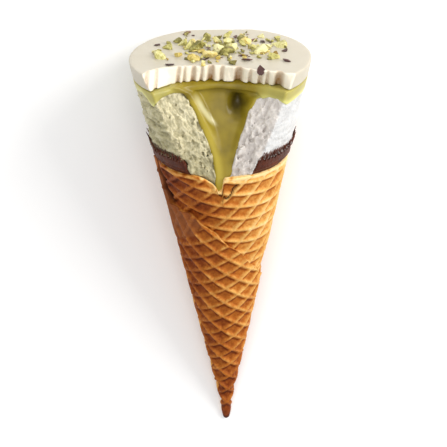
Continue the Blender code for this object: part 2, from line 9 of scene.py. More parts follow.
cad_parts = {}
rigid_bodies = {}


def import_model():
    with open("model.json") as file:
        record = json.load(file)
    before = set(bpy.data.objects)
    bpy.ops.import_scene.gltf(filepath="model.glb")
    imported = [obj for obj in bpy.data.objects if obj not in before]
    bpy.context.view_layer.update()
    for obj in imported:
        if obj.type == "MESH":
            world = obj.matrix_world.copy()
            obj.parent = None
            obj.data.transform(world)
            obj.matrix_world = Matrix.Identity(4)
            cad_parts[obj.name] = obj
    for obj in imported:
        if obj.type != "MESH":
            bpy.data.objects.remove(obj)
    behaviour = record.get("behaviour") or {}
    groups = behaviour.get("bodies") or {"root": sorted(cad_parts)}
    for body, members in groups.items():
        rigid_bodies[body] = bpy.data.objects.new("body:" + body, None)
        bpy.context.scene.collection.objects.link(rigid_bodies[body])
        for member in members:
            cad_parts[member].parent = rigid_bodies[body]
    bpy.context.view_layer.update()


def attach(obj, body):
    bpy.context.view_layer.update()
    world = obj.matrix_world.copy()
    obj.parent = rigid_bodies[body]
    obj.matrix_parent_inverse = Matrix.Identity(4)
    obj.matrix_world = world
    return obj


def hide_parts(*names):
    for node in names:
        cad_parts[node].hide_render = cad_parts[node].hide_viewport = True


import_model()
scene = bpy.context.scene

# Everything is drawn with the cone standing on its point, in millimetres: x to its right, y away
# from the bitten front and z up its axis. layDown then puts each finished mesh where the frame has it.
cone = {
    "topRadius": 31.0,
    "height": 145.7,  # from the point that the straight sides aim at
    "tip": 2.4,
    "rim": 110.0,
    "discThickness": 5.7,
    "flat": 0.4,  # what the cone rests on
}
slope = cone["topRadius"] / cone["height"]
halfAngle = math.atan(slope)
leanIn = math.cos(halfAngle)
reach = (cone["height"] - 0.35) / leanIn + cone["tip"] * leanIn
layDown = (
    Matrix.Scale(0.001, 4)
    @ Matrix.Translation((0, -reach / 2, -cone["flat"]))
    @ Matrix.Rotation(halfAngle - math.pi / 2, 4, "X")
)


class Value:
    # a socket that works in plain sums, so 1 - toast * 0.4 adds its own Math nodes
    def __init__(self, graph, socket):
        self.graph = graph
        self.socket = socket

    def math(self, operation, *others):
        return self.graph.math(operation, self, *others)

    def out(self, name):
        return Value(self.graph, self.socket.node.outputs[name])

    def __add__(self, other):
        return self.math("ADD", other)

    def __radd__(self, other):
        return self.math("ADD", other)

    def __sub__(self, other):
        return self.math("SUBTRACT", other)

    def __rsub__(self, other):
        return self.graph.math("SUBTRACT", other, self)

    def __mul__(self, other):
        return self.math("MULTIPLY", other)

    def __rmul__(self, other):
        return self.math("MULTIPLY", other)

    def __truediv__(self, other):
        return self.math("DIVIDE", other)

    def __pow__(self, other):
        return self.math("POWER", other)

    def __neg__(self):
        return self.math("MULTIPLY", -1.0)

    def least(self, other, soft=0.0):
        # the lower of two, with a rounded crossing where soft is set
        if soft:
            return self.math("SMOOTH_MIN", other, soft)
        return self.math("MINIMUM", other)

    def most(self, other, soft=0.0):
        if soft:
            return self.math("SMOOTH_MAX", other, soft)
        return self.math("MAXIMUM", other)

    def ease(self, low, high):
        # 0 below low, 1 above high, smooth between them
        plugs = {0: self, 1: low, 2: high, 3: 0.0, 4: 1.0}
        return self.graph.add("ShaderNodeMapRange", {"interpolation_type": "SMOOTHSTEP"}, plugs)

    def share(self, low, high):
        # 0 below low, 1 above high, straight between them
        return self.graph.add("ShaderNodeMapRange", None, {0: self, 1: low, 2: high, 3: 0.0, 4: 1.0})

    def between(self, first, second):
        # first where this is 0, second where it is 1
        return first + self * (second - first)

    def bump(self, middle, width):
        # 1 at the middle, 0 at that width to either side
        return 1 - (self - middle).math("ABSOLUTE").ease(0.0, width)

    def along(self, points):
        # straight lines through given points, level beyond their ends
        total = points[0][1]
        for (x0, y0), (x1, y1) in zip(points, points[1:]):
            total = self.share(x0, x1) * (y1 - y0) + total
        return total


class Graph:
    def __init__(self, tree):
        self.tree = tree

    def plug(self, socket, value):
        if isinstance(value, Value):
            self.tree.links.new(value.socket, socket)
        else:
            socket.default_value = value

    def add(self, kind, settings=None, plugs=None):
        node = self.tree.nodes.new(kind)
        for name, value in (settings or {}).items():
            setattr(node, name, value)
        sockets = [s for s in node.inputs if s.enabled]
        for key, value in (plugs or {}).items():
            # by its place among the sockets in use, or by its name
            socket = sockets[key] if isinstance(key, int) else next(s for s in sockets if s.name == key)
            self.plug(socket, value)
        outputs = [s for s in node.outputs if s.enabled]
        return Value(self, outputs[0]) if outputs else None

    def math(self, operation, *values):
        return self.add("ShaderNodeMath", {"operation": operation}, dict(enumerate(values)))

    def degreesRound(self, x, y):
        # 0 at the bitten front, positive to the right
        return self.math("ARCTAN2", x, -y) * math.degrees(1)

    def vector(self, operation, *values):
        return self.add("ShaderNodeVectorMath", {"operation": operation}, dict(enumerate(values)))

    def join(self, x, y, z):
        return self.add("ShaderNodeCombineXYZ", None, {0: x, 1: y, 2: z})

    def split(self, place):
        x = self.add("ShaderNodeSeparateXYZ", None, {0: place})
        return x, x.out("Y"), x.out("Z")

    def noise(self, place, size, detail=2.0, roughness=0.5, shift=0.0):
        # cloudy values around 0, mostly from -0.3 to 0.3, with lumps of that size in millimetres
        moved = self.vector("ADD", place, (shift, shift * 0.7, -shift * 1.3))
        plugs = {"Vector": moved, "Scale": 1.0 / size, "Detail": detail, "Roughness": roughness}
        return self.add("ShaderNodeTexNoise", None, plugs) - 0.5

    def cells(self, place, size):
        # 0 at the middle of each cell, rising towards its edge
        return self.add("ShaderNodeTexVoronoi", None, {"Vector": place, "Scale": 1.0 / size})

    def ramp(self, value, *colours, ends=(0.0, 1.0)):
        # evenly spaced colours from the first end to the last
        shown = self.add("ShaderNodeValToRGB", None, {0: value})
        elements = shown.socket.node.color_ramp.elements
        while len(elements) < len(colours):
            elements.new(1.0)
        gap = (ends[1] - ends[0]) / (len(colours) - 1)
        for number, (element, colour) in enumerate(zip(elements, colours)):
            element.position = ends[0] + gap * number
            element.color = colour
        return shown

    def mix(self, factor, first, second):
        plugs = {0: factor, 1: first, 2: second}
        return self.add("ShaderNodeMix", {"data_type": "RGBA"}, plugs)


def tint(red, green, blue):
    # a colour read off a paint card, 0 to 255, as the renderer counts it
    linear = []
    for part in (red, green, blue):
        part = part / 255
        linear.append(part / 12.92 if part <= 0.04045 else ((part + 0.055) / 1.055) ** 2.4)
    return (*linear, 1.0)


def growMesh(name, sizes, build):
    # one named input for each size; the tree makes the whole mesh, which is then kept as plain faces
    tree = bpy.data.node_groups.new(name, "GeometryNodeTree")
    tree.interface.new_socket("Geometry", in_out="OUTPUT", socket_type="NodeSocketGeometry")
    identifiers = {}
    for label, value in sizes.items():
        kind = "NodeSocketInt" if isinstance(value, int) else "NodeSocketFloat"
        socket = tree.interface.new_socket(label, in_out="INPUT", socket_type=kind)
        identifiers[label] = socket.identifier
    graph = Graph(tree)
    entry = tree.nodes.new("NodeGroupInput")
    given = {label: Value(graph, entry.outputs[label]) for label in sizes}
    shape = build(graph, given)
    ending = tree.nodes.new("NodeGroupOutput")
    tree.links.new(shape.socket, ending.inputs[0])
    piece = bpy.data.objects.new(name, bpy.data.meshes.new(name))
    scene.collection.objects.link(piece)
    modifier = piece.modifiers.new("grow", "NODES")
    modifier.node_group = tree
    for label, value in sizes.items():
        modifier[identifiers[label]] = value
    evaluated = piece.evaluated_get(bpy.context.evaluated_depsgraph_get())
    mesh = bpy.data.meshes.new_from_object(evaluated)
    piece.modifiers.remove(modifier)
    piece.data = mesh
    mesh.name = name
    return piece


def finishTree(graph, shape, material):
    smooth = graph.add("GeometryNodeSetShadeSmooth", None, {0: shape})
    real = graph.add("GeometryNodeRealizeInstances", None, {0: smooth})
    return graph.add("GeometryNodeSetMaterial", None, {"Geometry": real, "Material": material})


def keep(graph, shape, **values):
    # each value is stored on the mesh under its own name, for the material
    for label, value in values.items():
        plugs = {"Geometry": shape, "Name": label, "Value": value}
        shape = graph.add("GeometryNodeStoreNamedAttribute", {"data_type": "FLOAT"}, plugs)
    return shape


def solidFrom(graph, inside, low, high, voxel):
    # a closed skin where the distance inside the form is zero
    counts = [int(math.ceil((b - a) / voxel)) + 1 for a, b in zip(low, high)]
    top = tuple(a + voxel * (n - 1) for a, n in zip(low, counts))
    plugs = {"Density": inside + 1.0, "Background": -5.0, "Min": tuple(low), "Max": top}
    for axis, count in zip("XYZ", counts):
        plugs["Resolution " + axis] = count
    cloud = graph.add("GeometryNodeVolumeCube", None, plugs)
    return graph.add("GeometryNodeVolumeToMesh", None, {"Volume": cloud, "Threshold": 1.0})


def biggestShell(mesh, least=200):
    # stray crumbs and bubbles of a rough solid are taken off: only shells of many corners stay
    count = len(mesh.vertices)
    edges = np.zeros(len(mesh.edges) * 2, np.int32)
    mesh.edges.foreach_get("vertices", edges)
    edges = edges.reshape(-1, 2)
    label = np.arange(count)
    while True:
        low = np.minimum(label[edges[:, 0]], label[edges[:, 1]])
        fresh = label.copy()
        np.minimum.at(fresh, edges[:, 0], low)
        np.minimum.at(fresh, edges[:, 1], low)
        fresh = fresh[fresh]
        if (fresh == label).all():
            break
        label = fresh
    names, sizes = np.unique(label, return_counts=True)
    small = names[sizes < least]
    if len(small):
        gone = np.isin(label, small)
        shell = bmesh.new()
        shell.from_mesh(mesh)
        shell.verts.ensure_lookup_table()
        bmesh.ops.delete(shell, geom=[shell.verts[i] for i in np.nonzero(gone)[0]], context="VERTS")
        shell.to_mesh(mesh)
        shell.free()


def settle(piece, slot, *nodes):
    # from the standing drawing to the frame's place, flat where it rests
    mesh = piece.data
    mesh.transform(layDown)
    places = np.zeros(len(mesh.vertices) * 3, np.float32)
    mesh.vertices.foreach_get("co", places)
    places[2::3] = np.maximum(places[2::3], 0.0)
    mesh.vertices.foreach_set("co", places)
    mesh.update()
    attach(piece, "root")
    if nodes:
        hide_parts(*nodes)
    print("made", piece.name, "with", sum(len(p.vertices) - 2 for p in mesh.polygons), "triangles")


def standing(graph):
    # where a point is in the standing drawing
    place = graph.add("GeometryNodeInputPosition")
    x, y, z = graph.split(place)
    return place, x, y, z


def insideCone(x, y, z, inset=0.0):
    return (z * slope - (x * x + y * y).math("SQRT")) * leanIn - inset


bite = {
    "start": 6.0,  # below the top of the disc
    "length": 31.0,
    "middle": 9.6,  # in front of the axis at the start
    "foot": 20.6,
    "power": 1.15,
    "hollow": 0.0205,  # per millimetre, from side to side
}


def biteFront(x, depth):
    # how far in front of the axis the bitten face stands
    run = (depth - bite["start"]).most(0.0) / bite["length"]
    down = (run ** bite["power"]) * (bite["foot"] - bite["middle"]) + bite["middle"]
    side = (x + 1.0) * (x + 1.0) * bite["hollow"]
    return down + side * (1 - depth.ease(22.0, 40.0) * 0.35)


def openFront(graph, x, y, z):
    # 1 across the bitten front, where the ice cream runs over the chocolate to the rim
    turn = graph.degreesRound(x, y)
    edge = graph.noise(graph.join(x, y, z * 1.5), 1.6, 3.0, 0.65, 6.0) * 5.0
    flare = (z - cone["rim"]) * 0.8
    left = (turn + edge + 28.0 + flare).ease(-1.5, 1.5)
    right = (26.0 + flare - turn - edge).ease(-1.5, 1.5)
    return left * right


sauce = {
    "voxel": 0.36,
    "room": ((-32, -32, 103.5), (32, 32, 140.6)),  # from corner to corner
    "top": 5.85,  # all depths here are below the top of the disc
    # how low the layer comes, by degrees round the cone
    "sideBottom": (
        (-180, 8.9), (-120, 8.5), (-92, 7.5), (-76, 9.2), (-64, 8.2), (-58, 9.4), (-53, 11.4), (-49, 11.4),
        (-45, 9.0), (44, 10.2), (50, 11.0), (60, 10.5), (90, 10.4), (130, 9.4), (180, 8.9),
    ),
    # and along the bitten face, from side to side
    "lipBottom": (
        (-23.5, 11.6), (-22.2, 11.0), (-20.9, 9.4), (-19.2, 8.4), (-15.9, 8.0), (-13.3, 8.4), (0, 8.0),
        (12.0, 8.6), (13.8, 10.2), (16.2, 9.3), (18.6, 9.2), (20.8, 10.2), (22.0, 11.2),
    ),
    # both sides of what runs down, by depth
    "flowLeft": ((6.0, -16.5), (7.6, -14.0), (8.3, -12.6), (10.8, -11.2), (15.1, -9.0), (20.0, -6.9),
                 (24.8, -5.0), (29.4, -3.4), (33.7, -2.6), (38.0, -2.4), (41.0, -1.9)),
    "flowRight": ((6.0, 16.0), (8.4, 15.4), (9.7, 13.8), (10.6, 12.3), (12.3, 11.3), (14.7, 9.7),
                  (18.9, 8.5), (22.1, 7.2), (25.3, 5.9), (30.6, 4.4), (35.0, 3.4),
                  (38.0, 1.2), (41.0, 0.2)),
    "flowEnd": 41.2,
    "ridge": 1.3,
    "hollow": 1.7,
    "cavity": 4.0,
    "depth": 9.0,  # behind its face
    # where the light catches it beside the left roll
    "shineLine": ((8.0, -9.2), (10.5, -8.0), (14.0, -6.2), (17.5, -3.9), (21.0, -1.3)),
}


def sauceForms(graph, x, y, z):
    depth = cone["height"] - z
    front = -y
    turn = graph.degreesRound(x, y)
    face = biteFront(x, depth)
    body = insideCone(x, y, z, 0.05)
    # the layer under the disc, with its drips
    onFace = 1 - (face + 0.5 - front).ease(1.2, 3.2)
    bottom = onFace.between(turn.along(sauce["sideBottom"]), x.along(sauce["lipBottom"]))
    layer = (bottom - depth).least(depth - sauce["top"], 0.5)
    layer = layer.least((face + 0.6 - front) * 0.9, 1.5).least(body, 1.0)
    # what runs down the bitten face to the notch
    left = x - depth.along(sauce["flowLeft"])
    right = depth.along(sauce["flowRight"]) - x
    ridge = left.bump(1.9, 3.0) * sauce["ridge"] * (1 - depth.ease(15.0, 25.0) * 0.85)
    hollow = left.ease(2.2, 5.4) * right.ease(-0.5, 2.5) * sauce["hollow"]
    hollow = hollow * (1 - depth.ease(20.0, 31.0) * 0.8)
    cavity = x.bump(5.8, 4.6) * depth.bump(13.2, 6.4) * sauce["cavity"]
    lip = right.bump(0.9, 2.1) * depth.bump(13.0, 6.5) * 1.1
    skin = face + ridge - hollow - cavity + lip
    flow = (left * 0.9).least(right * 0.9, 0.8).least((skin - front) * 0.9, 1.5)
    flow = flow.least(front - skin + sauce["depth"]).least(sauce["flowEnd"] - depth, 0.8)
    flow = flow.least(body + 0.15 - depth.ease(34.0, 38.0) * 1.7, 0.6).least(depth - sauce["top"], 0.3)
    # the open space that it leaves in front of it, between the two ice creams
    channel = (left - 0.45).least(right - 0.45, 0.6)
    channel = channel.least(front - skin + 3.0).least(sauce["flowEnd"] + 2 - depth)
    # above the lip's lower edge the ice creams stay behind its front
    clear = (depth - bottom + 0.5).most(face - front - 1.3)
    return layer, flow, channel, clear


def startMaterial(name):
    material = bpy.data.materials.new(name)
    material.use_nodes = True
    graph = Graph(material.node_tree)
    shader = material.node_tree.nodes["Principled BSDF"]
    coordinates = graph.add("ShaderNodeTexCoord").out("Object")
    place = graph.vector("MULTIPLY", coordinates, (1000.0, 1000.0, 1000.0))
    return material, graph, shader, place


def kept(graph, label):
    # what keep stored on the mesh
    return graph.add("ShaderNodeAttribute", {"attribute_name": label}).out("Fac")


def dress(graph, shader, colour, roughness):
    graph.plug(shader.inputs["Base Color"], colour)
    graph.plug(shader.inputs["Roughness"], roughness)


def letLightIn(shader, weight, *reach):
    # reach is how far light goes under the surface, in metres, for red, green and blue
    shader.inputs["Subsurface Weight"].default_value = weight
    shader.inputs["Subsurface Radius"].default_value = reach
    shader.inputs["Subsurface Scale"].default_value = 1.0


def bumpInto(graph, shader, height, strength, distance):
    plugs = {"Strength": strength, "Distance": distance, "Height": height}
    graph.plug(shader.inputs["Normal"], graph.add("ShaderNodeBump", None, plugs))


def waferMaterial():
    material, graph, shader, place = startMaterial("bakedWafer")
    ridge = kept(graph, "ridge")
    edge = kept(graph, "edge")
    shade = kept(graph, "shade")
    fold = kept(graph, "fold")
    crack = kept(graph, "crack")
    clouds = graph.noise(place, 9.0, 3.0, 0.6)
    specks = graph.noise(place, 1.1, 4.0, 0.65, 5.0)
    # how baked each spot looks, plus painted light: the ribs painted lighter, a painted highlight on their
    # tops
    toastAndShade = 0.44 - ridge * (0.28 - shade * 0.1) + kept(graph, "brown") * 0.24
    # painted shade darkens the left side and the lower cone; edge adds a painted highlight on the rim's
    # lip and the wrap's edge
    toastAndShade = toastAndShade + shade * 0.38 + clouds * 0.6 + specks * 0.45 - edge * 0.5
    # the middle brown stands for toasting and for painted shade alike
    pale, golden, brown = tint(246, 214, 152), tint(227, 171, 90), tint(184, 107, 34)
    colour = graph.ramp(toastAndShade, pale, golden, brown, tint(132, 60, 12), tint(84, 30, 4))
    colour = graph.mix(fold * (0.55 + clouds), colour, tint(150, 90, 48))
    # the crack and the open gap painted dark brown: painted shade in them
    colour = graph.mix(crack, colour, tint(44, 14, 5))
    dress(graph, shader, colour, 0.56 + specks * 0.4 - ridge * 0.06)
    shader.inputs["Specular IOR Level"].default_value = 0.16
    pores = graph.cells(place, 0.7).ease(0.0, 0.5)
    grain = graph.noise(place, 0.35, 3.0, 0.6, 9.0)
    bumpInto(graph, shader, specks * 0.8 + grain * 0.5 + pores * 0.25, 0.8, 0.0004)
    return material


def bristles(graph, place, reach, shift):
    # fine upright strokes that thin out where reach falls from 1 to 0
    upright = graph.vector("MULTIPLY", place, (1.0, 0.25, 1.0))
    strokes = graph.noise(upright, 0.5, 2.0, 0.6, shift)
    return (reach * 0.75 + strokes * 1.3 - 0.42).ease(0.0, 0.14)


def iceCreamMaterial(look):
    material, graph, shader, place = startMaterial(look["material"])
    cut = kept(graph, "cut")
    clouds = graph.noise(place, 5.0, 4.0, 0.6)
    frost = graph.noise(place, 0.9, 3.0, 0.6, 3.0)
    tone = look["tone"] + clouds * 0.8 + frost * look["frost"]
    # the outside painted lighter on its raised torn flakes and darker between them: painted light and
    # shade following the relief
    outer = graph.ramp(tone + kept(graph, "tear") * look["tear"], *look["outside"])
    colour = graph.mix(cut, outer, graph.ramp(tone, *look["inside"]))
    onCut, everywhere, shadow = look["foot"]
    colour = graph.mix(kept(graph, "foot") * (cut * onCut + everywhere), colour, shadow)
    weight, holeShade = look["pits"]
    # holes and crevices painted darker: painted shade in them
    colour = graph.mix(kept(graph, "pit") * weight, colour, holeShade)
    colour = graph.mix(bristles(graph, place, kept(graph, "comb"), 7.0) * 0.85, colour, look["comb"])
    dress(graph, shader, colour, look["roughness"] + frost * 0.5)
    letLightIn(shader, *look["light"])
    bumpInto(graph, shader, frost + graph.noise(place, 0.35, 2.0, 0.6, 6.0) * 0.6, look["bump"], 0.0005)
    return material


def sauceMaterial():
    material, graph, shader, place = startMaterial("pistachioSauce")
    deep = kept(graph, "deep")
    clouds = graph.noise(place, 7.0, 2.0, 0.5)
    # darker in the hollow under the disc: painted shade
    tone = 0.5 + clouds * 0.9 - deep * 0.5
    colour = graph.ramp(tone, tint(72, 60, 6), tint(138, 119, 20), tint(170, 152, 44))
    # the rolled edges of the flow painted lighter: a painted highlight
    colour = graph.mix(kept(graph, "roll") * 0.6, colour, tint(188, 168, 56))
    # the thin sides and lower edge of the layer painted pale: partly the thin sauce, partly a painted
    # highlight
    colour = graph.mix(kept(graph, "thin") * 0.9, colour, tint(230, 227, 138))
    # a painted highlight: the colour lightened along the streak where the light catches it
    colour = graph.mix(kept(graph, "shine") * 0.65, colour, tint(238, 233, 186))
    smears = graph.noise(place, 3.0, 2.0, 0.5, 2.0)
    dress(graph, shader, colour, 0.36 + kept(graph, "low") * 0.2 + smears * 0.15)
    letLightIn(shader, 0.1, 0.003, 0.0022, 0.0006)
    graph.plug(shader.inputs["Coat Weight"], 0.1 + kept(graph, "shine") * 0.9)
    shader.inputs["Coat Roughness"].default_value = 0.2
    shader.inputs["Specular IOR Level"].default_value = 0.32
    bumpInto(graph, shader, graph.noise(place, 4.0, 2.0, 0.5, 8.0), 0.12, 0.0008)
    return material


def creamMaterial():
    material, graph, shader, place = startMaterial("cream")
    groove = kept(graph, "groove")
    clouds = graph.noise(place, 8.0, 3.0, 0.55)
    grain = graph.noise(place, 0.8, 3.0, 0.6, 4.0)
    tone = 0.5 + clouds * 0.6 + grain * 0.25
    colour = graph.ramp(tone, tint(184, 175, 155), tint(197, 189, 170), tint(209, 202, 187))
    # the bitten face painted lighter than the top and sides: painted light
    colour = graph.mix(kept(graph, "bitten"), colour, tint(240, 231, 210))
    # the tooth grooves tinted brown: partly sauce stain, partly painted shade in them
    colour = graph.mix(groove * (1.2 + grain), colour, tint(150, 104, 46))
    dress(graph, shader, colour, 0.42 + grain * 0.3)
    letLightIn(shader, 0.12, 0.002, 0.0016, 0.0012)
    bumpInto(graph, shader, grain * 0.6 + clouds, 0.25, 0.0003)
    return material


def chocolateMaterial():
    material, graph, shader, place = startMaterial("chocolateCoating")
    clouds = graph.noise(place, 3.0, 4.0, 0.6)
    grain = graph.noise(place, 0.7, 3.0, 0.65, 4.0)
    tone = 0.5 + clouds * 0.9 + grain * 0.7
    colour = graph.ramp(tone, tint(36, 12, 4), tint(80, 34, 15), tint(126, 66, 36))
    # flecks of the ice cream between the points of its upper edge
    x = graph.split(place)[0]
    fleck = graph.mix(x.ease(-0.5, 0.5), tint(150, 142, 104), tint(214, 204, 196))
    colour = graph.mix(bristles(graph, place, kept(graph, "fringe") * 0.75, 3.0) * 0.7, colour, fleck)
    dress(graph, shader, colour, 0.5 + grain * 0.5)
    shader.inputs["Specular IOR Level"].default_value = 0.2
    bumpInto(graph, shader, grain + clouds * 0.8, 0.5, 0.0004)
    return material


def nutMaterial(name, low, middle, high, spot):
    material, graph, shader, place = startMaterial(name)
    clouds = graph.noise(place, 1.8, 3.0, 0.6)
    grain = graph.noise(place, 0.4, 3.0, 0.6, 4.0)
    tone = 0.02 + kept(graph, "grade") * 0.85 + clouds * 1.3 + grain * 0.9
    colour = graph.ramp(tone, low, middle, high, ends=(0.1, 0.9))
    stain = graph.noise(place, 2.6, 2.0, 0.5, 11.0).ease(0.12, 0.24)
    colour = graph.mix(stain * 0.7, colour, spot)
    dress(graph, shader, colour, 0.5 + grain * 0.4)
    bumpInto(graph, shader, grain + clouds * 0.6, 0.5, 0.00025)
    return material


# the rolled wafer
wafer = {
    "columns": 300,
    "rowsInside": 12,
    "rowsRim": 10,
    "rowsWindow": 96,
    "rowsStep": 6,
    "rowsWrap": 184,
    "rowsTip": 8,
    "foot": 84.0,  # the hollow's floor, under the filling
    "gapFrom": (-91.0, -84.0),  # degrees round, where the wrap's edge stands open on the left
    "gapTo": (-68.0, -56.0),
    "liftAt": -70.0,
    "wall": 2.5,
    "seam": 169.0,  # degrees round from the front
    "ribs": {
        "Rib half width": 1.3,
        "Rib height": 1.15,
        "Inner rib height": 1.0,
        "Cell dip": 0.3,
        "Layer step": 1.2,
    },
    "wrapRibs": ((30.0, 5.25, 4.1), (-37.5, 5.45, 3.4)),  # direction, spacing and first rib
    "innerRibs": ((-10.0, 5.0, 0.1), (44.0, 5.7, 5.65)),
    "foldRibs": ((65.0, 5.4, 1.5), (-55.0, 5.0, 2.0)),
    # degrees from the front, and height up the axis
    "flapEdge": ((-84, 111), (-74, 101), (-63, 96), (-34, 94), (-8, 87.5), (6, 82), (20, 79.5), (34, 74.5),
                 (62, 67), (95, 63), (130, 72), (154, 92), (165, 111)),
    "notch": ((-27, 110), (-22, 109.9), (-18, 109.4), (-14, 108.5), (-9, 107.3), (-5.5, 106.0),
              (-3.6, 104.3), (-0.8, 105.4), (0.2, 105.9), (1.2, 109.7), (3, 110)),
    "crack": ((-3.4, 104.0), (3.0, 102.2), (5.7, 102.9), (8.3, 104.5), (9.9, 106.0), (14.1, 107.5)),
    "crackRadius": 22.0,
    "fold": ((-130, 72), (-90, 79), (-36.7, 84.7), (-24.5, 89.5), (-14, 92)),
}


def ribPattern(flatX, flatY, ribs, halfWidth):
    # raised lines on the flat wafer: 1 on a rib, how deep each cell is, and the rib's painted shadow
    # beside it, partly browning
    ridge = None
    pit = None
    brown = None
    for degrees, spacing, first in ribs:
        angle = math.radians(degrees)
        across = flatY * math.cos(angle) - flatX * math.sin(angle) - first
        aside = ((across / spacing + 0.5).math("FLOORED_MODULO", 1.0) - 0.5) * spacing
        away = aside.math("ABSOLUTE")
        line = 1 - away.ease(0.12, halfWidth)
        hollow = away / (spacing / 2)
        # painted shadow on the side of the rib towards the point, partly browning
        under = aside.bump(-1.15, 0.85)
        ridge = line if ridge is None else ridge.most(line, 0.25)
        pit = hollow if pit is None else pit.least(hollow)
        brown = under if brown is None else brown.most(under)
    return ridge, pit, brown * (1 - ridge * 0.8)


def nearPath(x, y, points):
    # distance to a jagged line
    nearest = None
    for (x0, y0), (x1, y1) in zip(points, points[1:]):
        dx, dy = x1 - x0, y1 - y0
        run = ((x - x0) * dx + (y - y0) * dy) / (dx * dx + dy * dy)
        run = run.most(0.0).least(1.0)
        ex = x - x0 - run * dx
        ey = y - y0 - run * dy
        away = (ex * ex + ey * ey).math("SQRT")
        nearest = away if nearest is None else nearest.least(away)
    return nearest


def makeWafer(material):
    rows = [wafer[k] for k in ("rowsInside", "rowsRim", "rowsWindow", "rowsStep", "rowsWrap", "rowsTip")]
    starts = np.cumsum([0] + rows)

    def build(graph, given):
        plugs = {"Vertices X": wafer["columns"] + 1, "Vertices Y": int(starts[-1]) + 1}
        sheet = graph.add("GeometryNodeMeshGrid", None, plugs)
        place = graph.add("GeometryNodeInputPosition")
        gridX, gridY = graph.split(place)[:2]
        degrees = (gridX + 0.5) * 360 + (wafer["seam"] - 360)
        row = (gridY + 0.5) * float(starts[-1])
        inside, rim, window, step, wrap, tip = [
            row.share(float(a), float(b)) for a, b in zip(starts, starts[1:])
        ]
        wobble = graph.noise(graph.join(degrees * 0.3, 0.0, 0.0), 4.0, 3.0, 0.6)
        rimHeight = degrees.along(wafer["notch"]) + wobble * 0.7
        flap = degrees.along(wafer["flapEdge"])
        flap = flap + graph.noise(graph.join(degrees * 0.35, 3.0, 0.0), 3.0, 2.0, 0.6) * 1.1
        flap = flap.least(rimHeight - 0.02)
        low = cone["tip"] + 0.9
        height = wafer["foot"] + inside * (rimHeight - wafer["foot"])
        evenRim = cone["rim"] + wobble * 0.7
        broken = (evenRim - rimHeight) * (window.ease(0.0, 0.6) - window)
        height = height - window * (rimHeight - flap) + broken - wrap * (flap - low)
        # place on the flat wafer, before it was rolled
        theta = degrees * (math.radians(1) * math.sin(halfAngle))
        rho = height / leanIn
        bend = graph.noise(graph.join(degrees * 0.35, height, 0.0), 14.0, 2.0, 0.5) * 1.1
        flatX = rho * theta.math("SINE") + bend
        flatY = rho * theta.math("COSINE") + bend * 0.6
        width = given["Rib half width"]
        wrapRidge, wrapPit, wrapBrownAndShadow = ribPattern(flatX, flatY, wafer["wrapRibs"], width)
        innerRidge, innerPit, innerBrownAndShadow = ribPattern(flatX, flatY, wafer["innerRibs"], width)
        foldRidge, foldPit, foldBrownAndShadow = ribPattern(flatX, flatY, wafer["foldRibs"], width)
        # the rim is a plain pale band, its paleness partly a painted highlight, except beside the notch
        below = window * (rimHeight - flap)
        near = rim.ease(0.5, 1.0) * (1 - below.ease(0.5, 1.6)) * (1 - degrees.bump(-12.0, 17.0) * 0.8)
        innerRidge = innerRidge.most(near * 0.9)
        overFold = height - degrees.along(wafer["fold"])
        around = 1 - degrees.ease(-80.0, -50.0)
        fray = graph.noise(graph.join(degrees * 0.35, height, 6.0), 4.0, 3.0, 0.6) * 9.0 * around
        fold = (overFold + fray + around * 3.0).ease(-0.3, 0.5 + 5.0 * around)
        fold = fold * (1 - degrees.ease(-26.0, -16.0)) * (degrees + fray).ease(-136.0, -104.0)
        wrapRidge = fold.between(wrapRidge, foldRidge * 0.8)
        wrapPit = fold.between(wrapPit, foldPit)
        tipFade = height.ease(5.0, 14.0)
        lumps = graph.noise(graph.join(degrees * 0.35, height, 9.0), 2.2, 3.0, 0.6)
        wear = 0.9 + graph.noise(graph.join(degrees * 0.35, height, 4.0), 9.0, 2.0, 0.5) * 0.7
        wrapRelief = (wrapRidge - 1) * given["Rib height"] * wear - wrapPit * given["Cell dip"]
        wrapRelief = wrapRelief * tipFade + (1 - tipFade) * 0.42
        under = flap - height
        lift = under.bump(0.0, 5.0) * degrees.bump(wafer["liftAt"], 26.0) * 0.35
        lift = lift + under.bump(0.0, 2.5) * 0.12
        wrapSkin = wrapRelief + lift + fold * 0.25 + lumps * 0.22
        above = height - flap
        settleIn = above.ease(0.0, 14.0)
        innerLevel = settleIn.between(-given["Layer step"], -0.35)
        trench = (1 - above.ease(1.6, 5.5)) * degrees.ease(*wafer["gapFrom"])
        trench = trench * (1 - degrees.ease(*wafer["gapTo"]))
        innerRelief = (innerRidge - 1) * given["Inner rib height"] * wear
        innerSkin = innerLevel + innerRelief - innerPit * given["Cell dip"]
        innerSkin = (innerSkin - trench * 1.3 + lumps * 0.2).most(0.3 - wafer["wall"])
        skin = step.between(innerSkin, wrapSkin)
        turnOver = 0.5 - (rim * math.pi).math("COSINE") * 0.5
        offset = turnOver.between(-wafer["wall"], skin)
        height = height + (rim * math.pi).math("SINE") * 0.55
        # the broken line beside the notch
        perDegree = math.radians(1) * wafer["crackRadius"]
        path = [(a * perDegree, h) for a, h in wafer["crack"]]
        jag = graph.noise(graph.join(degrees * 0.5, height, 2.0), 1.0, 2.0, 0.6) * 0.5
        crackLine = 1 - (nearPath(degrees * perDegree, height, path) + jag * 0.7).ease(0.06, 0.4)
        crackLine = crackLine * rim.ease(0.9, 1.0)
        offset = offset - crackLine * 0.75
        # the blunt point
        height = height - tip * tip * 0.9
        close = (1 - tip * tip).most(0.0).math("SQRT")
        radius = (height * slope + offset / leanIn) * close * inside.share(0.0, 0.06)
        angle = degrees * math.radians(1)
        spot = graph.join(radius * angle.math("SINE"), -(radius * angle.math("COSINE")), height)
        ridge = step.between(innerRidge, wrapRidge)
        brown = step.between(innerBrownAndShadow, fold.between(wrapBrownAndShadow, foldBrownAndShadow))
